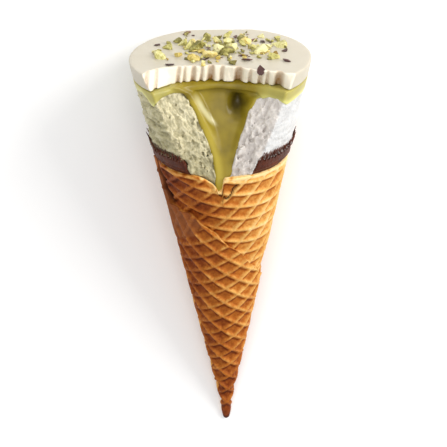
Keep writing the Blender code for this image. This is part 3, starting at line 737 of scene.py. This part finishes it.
        # edge: the rim's lip and the wrap's step painted lighter, partly the sheet's paler edge and partly
        # a painted highlight
        edge = rim.bump(0.5, 0.55) + step.bump(0.5, 0.5) * (1 - degrees.bump(-74.0, 20.0)) * 0.6
        # shade: the left side painted darker, a painted shade, more so on its upper part; the cone also
        # darker towards its point
        left = (degrees + 90).math("MULTIPLY", math.radians(1)).math("COSINE")
        lowDown = 1 - height.share(5.0, 85.0)
        shade = left.share(-0.5, 0.9) * (1 - lowDown * 1.2).most(0.0)
        shade = shade + (1 - height.ease(2.6, 7.0)) * 0.7 + lowDown
        shade = shade + left.share(-0.2, 0.9) * height.share(88.0, 106.0) * 0.25
        edge = edge.most(near * 0.6)
        # the crack and the open gap on the left are painted dark: painted shade in them
        crack = crackLine.most(trench * (1 - step))
        sheet = keep(graph, sheet, ridge=ridge, brown=brown, edge=edge, shade=shade)
        sheet = keep(graph, sheet, fold=fold * step, crack=crack)
        sheet = graph.add("GeometryNodeSetPosition", None, {"Geometry": sheet, "Position": spot})
        sheet = graph.add("GeometryNodeMergeByDistance", None, {"Geometry": sheet, "Distance": 0.004})
        return finishTree(graph, sheet, material)

    piece = growMesh("rolled_wafer", wafer["ribs"], build)
    settle(piece, "wafer", "wafer_cone")
    return piece


# the two ice creams
iceCream = {
    "voxel": 0.4,
    "foot": 98.0,
    "edge": 33.0,  # of the space that they are drawn in
    "sizes": {"Lumps": 2.6, "Flakes": 3.6, "Crests": 1.9, "Pits": 1.6},
    "split": -0.6,
}
scoops = {
    "pistachio_scoop": {
        "side": -1,
        "slot": "pistachio_ice_cream",
        "material": "pistachioIceCream",
        "strata": 5.0,  # how torn its outside is
        "tone": 0.5,
        "frost": 0.7,
        # how strongly light and shade are painted along the torn flakes
        "tear": 1.5,
        # its outside darker and greyer than the cut: partly its own skin, partly painted shade
        "outside": (tint(98, 90, 56), tint(189, 181, 140), tint(230, 224, 194)),
        "inside": (tint(186, 174, 132), tint(238, 228, 190), tint(248, 242, 218)),
        "foot": (0.0, 0.5, tint(140, 130, 86)),  # shade low down: how much on the cut, how much all over
        "pits": (0.85, tint(104, 98, 60)),  # painted shade in its holes and crevices: how strong, and its colour
        "comb": tint(74, 42, 22),  # strokes of chocolate just above the band
        "roughness": 0.5,
        "light": (0.12, 0.002, 0.0016, 0.001),  # for letLightIn
        "bump": 0.6,
    },
    "milk_scoop": {
        "side": 1,
        "slot": "milk_ice_cream",
        "material": "milkIceCream",
        "strata": 1.6,
        "tone": 0.55,
        "frost": 0.6,
        "tear": 0.8,
        "outside": (tint(188, 188, 189), tint(210, 210, 209), tint(226, 226, 226)),
        "inside": (tint(196, 186, 178), tint(234, 227, 219), tint(246, 241, 235)),
        "foot": (0.45, 0.0, tint(168, 158, 150)),
        "pits": (0.5, tint(150, 140, 136)),
        "comb": tint(104, 56, 36),
        "roughness": 0.45,
        "light": (0.15, 0.002, 0.0018, 0.0016),
        "bump": 0.55,
    },
}


def makeIceCream(name):
    look = scoops[name]
    side = look["side"]
    edge = iceCream["edge"]
    low = (-edge if side < 0 else iceCream["split"] - 2.0, -edge, iceCream["foot"] - 1.0)
    high = (iceCream["split"] + 2.0 if side < 0 else edge, edge, cone["height"] - 5.0)

    def form(graph, given):
        place, x, y, z = standing(graph)
        depth = cone["height"] - z
        front = -y
        face = biteFront(x, depth)
        within = insideCone(x, y, z)
        ahead = openFront(graph, x, y, z)
        # thinner behind the wafer, and behind the chocolate
        tuck = ((1 - z.ease(110.0, 111.2)) * 2.3).most((1 - z.ease(115.0, 116.8)) * (1 - ahead) * 2.0)
        wall = within - 0.45 - tuck
        cutDepth = (face - front) * 0.9
        cut = (wall - cutDepth + graph.noise(place, 2.0, 3.0, 0.6, 12.0) * 2.0).ease(-0.7, 0.7)
        body = wall.least(cutDepth, 0.8)
        seam = graph.noise(graph.join(0.0, 0.0, z), 6.0, 3.0, 0.6) * 2.0 + iceCream["split"]
        half = (seam - x) if side < 0 else (x - seam)
        body = body.least(half, 0.4).least(z - iceCream["foot"], 0.4)
        body = body.least(cone["height"] - 6.3 - z, 0.3)
        # the bite drags its crags down towards the middle
        across = x * 0.9 - z * (0.43 * side)
        along = x * 0.43 + z * (0.9 * side)
        slant = graph.join(across, y, along * 0.45)
        lumps = graph.noise(place, 4.6, 3.0, 0.6, 1.0 + side)
        drag = graph.noise(slant, 2.0, 5.0, 0.66, 4.0 + side)
        holes = graph.cells(graph.vector("ADD", slant, graph.join(drag * 3.0, drag * 2.0, 0.0)), 1.7)
        pit = 1 - holes.ease(0.1, 0.42)
        lowDown = (depth - 14.0).share(0.0, 22.0)
        torrent = cut * (0.75 + lowDown * 0.55)
        around = graph.math("ARCTAN2", x, front) * 9.0
        strata = graph.join((x * x + y * y).math("SQRT") * 0.5, around, z * 1.5)
        torn = graph.noise(strata, 2.2, 5.0, 0.68, 2.0)
        crest = 0.16 - graph.noise(slant, 1.7, 3.0, 0.6, 8.0).math("ABSOLUTE") * 2.0
        body = body + lumps * given["Lumps"] * (0.4 + cut * 0.6) + drag * given["Flakes"] * torrent
        body = body + (torn - 0.06) * given["Strata"] * (1 - cut)
        body = body + crest * given["Crests"] * (0.25 + torrent * 0.8)
        pit = pit * (graph.noise(place, 5.0, 2.0, 0.5, 7.0).ease(-0.12, 0.03)) * (0.1 + torrent * 0.9)
        body = body - pit * given["Pits"]
        body = body.least(wall + 0.55, 0.3)
        # the crevices between the crags and the hollows between the torn flakes, for painted shade
        gap = (0.5 - (drag + crest)).ease(0.2, 0.6) * cut
        gap = gap + (0.4 - torn).ease(0.42, 0.62) * (1 - cut) * 0.8
        layer, flow, channel, clear = sauceForms(graph, x, y, z)
        body = body.least(clear, 0.3)
        body = body.least(0.4 - layer.most(flow, 1.5), 0.2)
        comb = (1 - z.ease(116.6, 120.2)) * (1 - ahead) * (1 - cut)
        marks = {"cut": cut, "pit": pit.most(gap * 0.75), "foot": lowDown, "tear": torn, "comb": comb}
        return body.least(drag * 1.2 - channel, 0.3), marks

    def build(graph, given):
        inside, marks = form(graph, given)
        skin = solidFrom(graph, inside, low, high, iceCream["voxel"])
        return finishTree(graph, keep(graph, skin, **marks), iceCreamMaterial(look))

    piece = growMesh(name, dict(iceCream["sizes"], Strata=look["strata"]), build)
    biggestShell(piece.data)
    settle(piece, look["slot"], look["slot"])
    return piece


def makeSauce(material):
    def build(graph, given):
        place, x, y, z = standing(graph)
        waves = graph.noise(place, 9.0, 1.0, 0.4) * given["Waves"]
        layer, flow = sauceForms(graph, x, y, z)[:2]
        inside = layer.most(flow, 1.5) + waves
        inside = inside.least(insideCone(x, y, z, 0.02), 0.3)
        skin = solidFrom(graph, inside, *sauce["room"], sauce["voxel"])
        depth = cone["height"] - z
        # the hollow under the disc, darkened in the colour as painted shade
        deep = x.bump(5.8, 5.6) * depth.bump(13.2, 8.0)
        edge = graph.degreesRound(x, y).along(sauce["sideBottom"]) - depth
        # the thin sides and lower edge, pale partly from the thin sauce and partly as a painted highlight
        thin = (1 - edge.ease(0.2, 2.6) * 0.65) * (x + 1.0).math("ABSOLUTE").ease(11.0, 17.0)
        shine = (x - depth.along(sauce["shineLine"])).math("ABSOLUTE").ease(0.1, 1.3)
        shine = (1 - shine) * depth.ease(8.0, 13.0) * (1 - depth.ease(18.0, 21.0))
        # the rolled edges, painted lighter in the colour as a highlight
        roll = (x - depth.along(sauce["flowLeft"])).bump(1.5, 2.4) * depth.ease(9.0, 12.0)
        roll = roll.most((depth.along(sauce["flowRight"]) - x).bump(0.9, 1.8) * depth.bump(13.0, 7.0))
        low = depth.ease(17.0, 25.0)
        skin = keep(graph, skin, deep=deep, thin=thin, low=low, shine=shine, roll=roll)
        return finishTree(graph, skin, material)

    piece = growMesh("poured_sauce", {"Waves": 0.5}, build)
    biggestShell(piece.data)
    settle(piece, "pistachio_sauce", "pistachio_sauce")
    return piece


# the cream disc, bitten at the front
disc = {
    "voxel": 0.34,
    "room": ((-32, -32, 139.0), (32, 28, 146.2)),
    # how far in front of the axis it is bitten off, from side to side
    "topLine": (
        (-27, 18.9), (-25.3, 16.9), (-23.1, 13.8), (-19.9, 11.6), (-16.6, 10.7), (-10, 10.1), (0, 10.1),
        (3.2, 11.2), (6.5, 12.5), (9.7, 14.2), (13.6, 15.6), (18.8, 17.3), (21.0, 18.6), (24.5, 19.2),
    ),
    "bottomLine": (
        (-25, 21.6), (-23.1, 19.4), (-19.9, 15.4), (-16.7, 12.2), (-12, 10.4), (-6.8, 9.6), (0, 9.9),
        (6.5, 10.8), (9.1, 11.8), (13, 13.3), (16.3, 14.4), (19.5, 16), (22.0, 19.0), (24.5, 21.0),
    ),
    # where each tooth went in, and how wide it was
    "teeth": (
        (-24.2, 1.1), (-21.2, 0.9), (-14.0, 1.1), (-12.0, 0.8), (-9.0, 1.3), (-6.2, 0.9), (-3.2, 1.9),
        (0.5, 1.1), (6.0, 2.2), (9.8, 0.9), (13.1, 1.1), (15.4, 0.9), (19.2, 2.1),
    ),
    "sizes": {"Tooth depth": 2.0, "Edge": 1.2},
}


def makeDisc(material):
    def build(graph, given):
        place, x, y, z = standing(graph)
        depth = cone["height"] - z
        front = -y
        wander = graph.noise(graph.join(x, 0.0, z * 0.35), 1.6, 3.0, 0.6)
        down = depth.share(0.0, cone["discThickness"])
        line = down.between(x.along(disc["topLine"]), x.along(disc["bottomLine"]))
        groove = None
        lean = x + (depth - 3.0) * 0.1 + wander * 0.8
        for middle, width in disc["teeth"]:
            mark = 1 - (lean - middle).math("ABSOLUTE").ease(width * 0.2, width * 0.9)
            mark = mark * min(1.0, 0.2 + width * 0.42)
            groove = mark if groove is None else groove.most(mark)
        groove = groove * (0.55 + down * 0.45)
        chew = graph.noise(graph.join(x, 0.0, z * 0.3), 0.9, 2.0, 0.6, 5.0)
        bitten = (line - groove * given["Tooth depth"] + wander * 1.0 + chew * 0.5 - front) * 0.92
        body = insideCone(x, y, z, 0.0).least(cone["height"] - 0.02 - z, given["Edge"])
        body = body.least(z - (cone["height"] - cone["discThickness"]), 0.7)
        swell = graph.noise(place, 12.0, 2.0, 0.5) * 0.25 + graph.noise(place, 2.0, 2.0, 0.5, 3.0) * 0.08
        body = body + swell - 0.08
        body = body.least(bitten, 0.45)
        body = body.least(insideCone(x, y, z, 0.0))
        body = body.least(cone["height"] - z)
        skin = solidFrom(graph, body, *disc["room"], disc["voxel"])
        # the bitten face, painted lighter in the colour as painted light
        face = 1 - (bitten).ease(0.3, 1.2)
        # the tooth grooves, tinted brown: partly sauce stain, partly painted shade
        groove = (groove * face * (0.75 + wander * 1.5)).most(0.0)
        return finishTree(graph, keep(graph, skin, groove=groove, bitten=face), material)

    piece = growMesh("cream_layer", disc["sizes"], build)
    biggestShell(piece.data)
    settle(piece, "cream", "cream_disc")
    return piece


# the chocolate inside the wafer's mouth
chocolate = {
    "voxel": 0.29,
    "room": ((-27, -27, 104.0), (27, 24, 120.0)),
    "top": 116.6,
    "foot": 105.0,
    "wall": 1.5,
    "radius": 24.0,  # where lengths round it are measured
    "sizes": {
        "Ragged": 6.0,
        "Rough": 0.5,
        "Points": 270,
        "Point width": 0.3,
        "Point length": 3.3,
        "Seed": 4,
    },
}


def makeChocolate(material):
    def build(graph, given):
        place, x, y, z = standing(graph)
        around = graph.math("ARCTAN2", x, -y) * chocolate["radius"]
        ahead = openFront(graph, x, y, z)
        within = insideCone(x, y, z)
        flare = (z - (cone["rim"] + 0.8)).ease(0.0, 2.8)
        over = (z - (cone["rim"] + 0.3)).ease(-0.8, 0.4)
        outer = within - over.between(2.75, flare.between(1.3, 0.25)) + z.bump(112.3, 0.7) * 0.55
        inner = within - over.between(4.0, flare.between(3.0, 0.25 + chocolate["wall"]))
        points = graph.join(around, z * 0.12, 0.0)
        broad = graph.noise(points, 6.0, 2.0, 0.5, 3.0)
        nibbled = graph.noise(points, 0.85, 2.0, 0.7)
        top = chocolate["top"] - 0.5 + broad * 1.6 + nibbled * given["Ragged"]
        body = outer.least(-inner, 0.25)
        body = body.least((top - z) * 0.5, 0.15).least(z - chocolate["foot"], 0.2)
        body = body.least((0.5 - ahead) * 2.5, 0.4)
        body = body + graph.noise(place, 1.4, 3.0, 0.6, 2.0) * given["Rough"]
        band = solidFrom(graph, body, *chocolate["room"], chocolate["voxel"])
        # the fringe of short points along its upper edge
        line = graph.add("GeometryNodeMeshLine", None, {
            "Count": given["Points"], "Start Location": (0.0, 0.0, 0.0), "Offset": (0.0, 0.0, 0.0)})
        index = graph.add("GeometryNodeInputIndex")

        def chance(low, high):
            plugs = {"Min": low, "Max": high, "Seed": given["Seed"]}
            return graph.add("FunctionNodeRandomValue", {"data_type": "FLOAT"}, plugs)

        angle = (index + chance(-0.5, 0.5)) * (math.tau / chocolate["sizes"]["Points"])
        arc = (angle + math.pi).math("FLOORED_MODULO", math.tau) - math.pi
        row = (index.math("FLOORED_MODULO", 3.0) - 1) * 0.45
        curl = graph.join(arc * chocolate["radius"], chocolate["top"] * 0.12, 0.0)
        height = chocolate["top"] - 0.75 + graph.noise(curl, 6.0, 2.0, 0.5, 3.0) * 1.6 + row
        radius = height * slope - 0.12
        px = radius * arc.math("SINE")
        py = -(radius * arc.math("COSINE"))
        outside = 1 - openFront(graph, px, py, height)
        line = graph.add("GeometryNodeSetPosition", None, {
            "Geometry": line, "Position": graph.join(px, py, height)})
        spike = graph.add("GeometryNodeMeshCone", None, {
            "Vertices": 6, "Radius Top": 0.1, "Radius Bottom": given["Point width"], "Depth": 1.0})
        long = chance(0.8, given["Point length"])
        lean = chance(-0.35, 0.35)
        fringe = graph.add("GeometryNodeInstanceOnPoints", None, {
            "Points": line, "Selection": outside.math("GREATER_THAN", 0.5), "Instance": spike,
            "Rotation": graph.join(0.2 + lean * 0.5, lean, arc), "Scale": graph.join(1.0, 1.0, long)})
        fringe = graph.add("GeometryNodeRealizeInstances", None, {0: fringe})
        both = graph.add("GeometryNodeJoinGeometry")
        for part in (fringe, band):
            graph.plug(both.socket.node.inputs[0], part)
        return finishTree(graph, keep(graph, both, fringe=z.bump(116.5, 1.7)), material)

    piece = growMesh("chocolate_band", chocolate["sizes"], build)
    biggestShell(piece.data, 9)
    settle(piece, "chocolate", "chocolate_lining")
    return piece


# chopped nuts on the disc
bitShapes = 9  # different pieces of each kind
bitCuts = 9  # of the knife, on each piece
nuts = {
    # x, y, length and turn of the pieces that stand out, with a tilt where one hangs over the bitten edge,
    # then the crumbs between them
    "green": {
        "big": (
            (-10.2, 9.0, 5.2, 70), (-12.6, 12.0, 3.8, 20), (-7.9, 8.4, 4.6, 100), (-17.4, 8.4, 3.8, 10),
            (2.9, 20.6, 3.2, 40), (-4.1, 17.8, 3.4, 95), (1.7, 2.6, 5.2, 20), (0.6, 8.0, 5.0, 120),
            (4.0, 6.8, 4.2, 60), (13.2, 2.0, 5.0, 30), (16.4, 7.0, 4.0, 80), (21.2, 8.9, 5.0, 10),
            (17.7, -3.3, 5.2, 5), (-14.3, 15.2, 3.4, 40), (14.6, 18.8, 2.6, 15), (19.8, 16.6, 2.6, 0),
            (-1.0, 14.6, 3.8, 160), (7.6, 15.2, 4.0, 60), (-19.4, -1.2, 4.4, 140),
            (3.9, -8.6, 4.2, 130), (-0.8, 4.8, 4.4, 75), (2.8, 11.2, 4.0, 30), (-20.8, 3.0, 3.4, 50),
            (12.2, 5.4, 3.6, 150), (-9.0, 6.2, 3.6, 45), (8.0, 10.4, 3.8, 120),
        ),
        "crumbs": 100, "crumb": 1.6, "seed": 3, "lean": 0.45, "sit": 0.13,
        "wide": (0.55, 0.95), "flat": (0.5, 0.8),
    },
    "yellow": {
        "big": (
            (-8.4, -4.0, 4.2, 20), (-3.4, -1.2, 4.8, 160), (-13.6, 0.8, 4.0, 60), (9.3, 12.7, 3.6, 10),
            (-0.4, -2.6, 3.4, 90), (-8.8, 12.6, 3.2, 75), (8.2, 18.8, 3.2, 110), (-6.0, 4.4, 2.6, 40),
        ),
        "crumbs": 34, "crumb": 1.6, "seed": 8, "lean": 0.4, "sit": 0.13,
        "wide": (0.45, 0.8), "flat": (0.4, 0.65),
    },
    "skin": {
        "big": (
            (13.2, -14.6, 3.9, 90, 0.75), (-11.8, 23.4, 3.0, 20), (-21.2, 12.2, 2.4, 0),
            (-13.1, 16.1, 2.6, 0), (-4.1, 7.0, 2.8, 120), (7.7, -0.8, 3.0, 10), (8.9, -4.9, 4.2, 10),
            (21.7, 3.6, 2.6, 60), (21.9, -6.6, 3.2, 150), (-17.3, -8.5, 3.2, 20),
            (-5.6, -4.6, 3.0, 100), (6.9, 14.9, 3.2, 60), (-1.3, 19.8, 2.2, 10), (12.0, 15.8, 3.0, 30),
            (15.0, 13.0, 2.8, 120), (5.4, 19.0, 2.4, 60),
        ),
        "crumbs": 26, "crumb": 1.2, "seed": 5, "lean": 0.2, "sit": 0.08,
        "wide": (0.42, 0.58), "flat": (0.14, 0.24),
    },
}


def choppedBit(name, rng, long, wide, flat):
    # a rounded lump sliced on several sides, like a nut under a knife
    shell = bmesh.new()
    bmesh.ops.create_icosphere(shell, subdivisions=3, radius=0.5)
    cuts = []
    while len(cuts) < bitCuts:
        direction = Vector(rng.normal(size=3)).normalized()
        cuts.append((direction, rng.uniform(0.16, 0.34)))
    for corner in shell.verts:
        corner.co *= 1 + rng.uniform(-0.07, 0.07)
        for direction, far in cuts:
            over = corner.co.dot(direction) - far
            if over > 0:
                corner.co -= direction * over
    for corner in shell.verts:
        corner.co = Vector((corner.co.x * long, corner.co.y * wide, corner.co.z * flat)) * 1.35
    mesh = bpy.data.meshes.new(name)
    shell.to_mesh(mesh)
    shell.free()
    return bpy.data.objects.new(name, mesh)


def makeNuts(kind, pieceName, material):
    plan = nuts[kind]
    rng = np.random.default_rng(plan["seed"])
    spots = [(*bit[:3], math.radians(bit[3])) for bit in plan["big"]]
    while len(spots) < len(plan["big"]) + plan["crumbs"]:
        x, y = rng.normal(1.5, 11.0), rng.normal(8.0, 8.5)
        if (x / 23) ** 2 + ((y - 7) / 19) ** 2 < 1 and math.hypot(x, y) < 28 and y > -10.5:
            spots.append((x, y, plan["crumb"] * rng.uniform(0.4, 1.3), rng.uniform(0, math.pi)))
    seats = bpy.data.meshes.new(kind + "Seats")
    seats.from_pydata([spot[:2] + (cone["height"],) for spot in spots], [], [])
    lean = rng.normal(0, plan["lean"], len(spots))
    rise = lean * -0.6
    for number, bit in enumerate(plan["big"]):
        if len(bit) > 4:
            # one that hangs over the bitten edge
            lean[number], rise[number] = 0.0, -bit[4]
    columns = {
        "length": [spot[2] for spot in spots],
        "turn": [spot[3] for spot in spots],
        "leanOver": lean,
        "rise": rise,
        "grade": rng.uniform(0, 1, len(spots)),
    }
    for label, values in columns.items():
        seats.attributes.new(label, "FLOAT", "POINT").data.foreach_set("value", values)
    seatObject = bpy.data.objects.new(kind + "Seats", seats)
    scene.collection.objects.link(seatObject)
    kinds = bpy.data.collections.new(kind + "Bits")
    for number in range(bitShapes):
        wide, flat = rng.uniform(*plan["wide"]), rng.uniform(*plan["flat"])
        kinds.objects.link(choppedBit(kind + "Bit" + str(number), rng, 1.0, wide, flat))

    def build(graph, given):
        points = graph.add("GeometryNodeObjectInfo", None, {"Object": seatObject}).out("Geometry")
        points = graph.add("GeometryNodeMeshToPoints", None, {"Mesh": points})
        length, turn, lean, rise = [
            graph.add("GeometryNodeInputNamedAttribute", {"data_type": "FLOAT"}, {"Name": label})
            for label in ("length", "turn", "leanOver", "rise")
        ]
        bits = graph.add("GeometryNodeCollectionInfo", None, {
            "Collection": kinds, "Separate Children": True, "Reset Children": True})
        which = graph.add("FunctionNodeRandomValue", {"data_type": "INT"}, {
            "Min": 0, "Max": bitShapes - 1, "Seed": given["Seed"]})
        lift = graph.join(0.0, 0.0, length * given["Sit"])
        points = graph.add("GeometryNodeSetPosition", None, {"Geometry": points, "Offset": lift})
        placed = graph.add("GeometryNodeInstanceOnPoints", None, {
            "Points": points, "Instance": bits, "Pick Instance": True, "Instance Index": which,
            "Rotation": graph.join(lean, rise, turn), "Scale": graph.join(length, length, length)})
        real = graph.add("GeometryNodeRealizeInstances", None, {0: placed})
        place = graph.add("GeometryNodeInputPosition")
        rough = graph.noise(place, 0.7, 2.0, 0.6)
        rougher = graph.noise(place, 0.7, 2.0, 0.6, 5.0)
        nudge = graph.join(rough * given["Rough"], rougher * given["Rough"], rough * rougher)
        shaped = graph.add("GeometryNodeSetPosition", None, {"Geometry": real, "Offset": nudge})
        return graph.add("GeometryNodeSetMaterial", None, {"Geometry": shaped, "Material": material})

    piece = growMesh(pieceName, {"Sit": plan["sit"], "Rough": 0.22, "Seed": plan["seed"]}, build)
    bpy.data.objects.remove(seatObject)
    for bit in list(kinds.objects):
        bpy.data.objects.remove(bit)
    bpy.data.collections.remove(kinds)
    settle(piece, "nuts")
    return piece


# floor, light and camera
studio = {
    "floor": tint(254, 254, 254),
    "sky": 0.67,
    "key": 4.5,
    "distance": 0.52112,  # from the camera to the middle of the disc
    "rise": 0.33308,  # of the line to the disc, above level
    "pitch": 0.44169,
    "roll": -0.017304,
    "lens": 124.0,
    "shift": 0.0012,
}


def makeFloor():
    mesh = bpy.data.meshes.new("floor")
    size = 3.0
    corners = [(-size, -size, 0), (size, -size, 0), (size, size, 0), (-size, size, 0)]
    mesh.from_pydata(corners, [], [(0, 1, 2, 3)])
    floor = bpy.data.objects.new("floor", mesh)
    scene.collection.objects.link(floor)
    material, shader = startMaterial("paleFloor")[::2]
    shader.inputs["Base Color"].default_value = studio["floor"]
    shader.inputs["Roughness"].default_value = 0.8
    mesh.materials.append(material)


def addLight(name, place, target, size, power, colour):
    light = bpy.data.lights.new(name, "AREA")
    light.shape = "RECTANGLE"
    light.size, light.size_y = size
    light.energy = power
    light.color = colour
    lamp = bpy.data.objects.new(name, light)
    lamp.location = place
    lamp.rotation_euler = (Vector(target) - Vector(place)).to_track_quat("-Z", "Y").to_euler()
    scene.collection.objects.link(lamp)


def makeStudio():
    world = bpy.data.worlds.new("softRoom")
    world.use_nodes = True
    world.node_tree.nodes["Background"].inputs["Color"].default_value = (1.0, 1.0, 1.0, 1.0)
    world.node_tree.nodes["Background"].inputs["Strength"].default_value = studio["sky"]
    scene.world = world
    scene.view_settings.view_transform = "Standard"
    key = studio["key"]
    addLight("windowRight", (0.58, 0.34, 0.42), (0, 0, 0.03), (0.45, 0.45), key, (1.0, 0.98, 0.95))
    addLight("softTop", (-0.1, 0.25, 0.8), (0, 0.02, 0.03), (0.6, 0.6), key * 0.45, (1.0, 1.0, 1.0))


def makeCamera():
    camera = bpy.data.cameras.new("camera")
    camera.lens = studio["lens"]
    camera.sensor_width = 36.0
    camera.shift_x = studio["shift"]
    camera.clip_start = 0.01
    eye = bpy.data.objects.new("camera", camera)
    scene.collection.objects.link(eye)
    away = studio["distance"] * 1000
    place = Vector((0, -away * math.cos(studio["rise"]), cone["height"] + away * math.sin(studio["rise"])))
    ahead = Vector((0, math.cos(studio["pitch"]), -math.sin(studio["pitch"])))
    level = Vector((1, 0, 0))
    upward = Vector((0, math.sin(studio["pitch"]), math.cos(studio["pitch"])))
    right = level * math.cos(studio["roll"]) + upward * math.sin(studio["roll"])
    top = upward * math.cos(studio["roll"]) - level * math.sin(studio["roll"])
    turned = Matrix((right, top, -ahead)).transposed().to_4x4()
    turn = Matrix.Rotation(halfAngle - math.pi / 2, 4, "X")
    eye.matrix_world = Matrix.Translation(layDown @ place) @ turn @ turned
    scene.camera = eye


makeFloor()
makeStudio()
makeCamera()
makeWafer(waferMaterial())
makeChocolate(chocolateMaterial())
for scoop in scoops:
    makeIceCream(scoop)
makeSauce(sauceMaterial())
makeDisc(creamMaterial())
makeNuts("green", "green_nut_bits", nutMaterial(
    "greenNut", tint(112, 104, 38), tint(196, 188, 108), tint(234, 228, 172), tint(104, 62, 44)))
makeNuts("yellow", "yellow_nut_bits", nutMaterial(
    "yellowNut", tint(146, 116, 38), tint(206, 184, 92), tint(236, 220, 152), tint(110, 66, 42)))
makeNuts("skin", "nut_skin_flakes", nutMaterial(
    "nutSkin", tint(58, 30, 28), tint(92, 56, 48), tint(132, 92, 80), tint(110, 72, 84)))
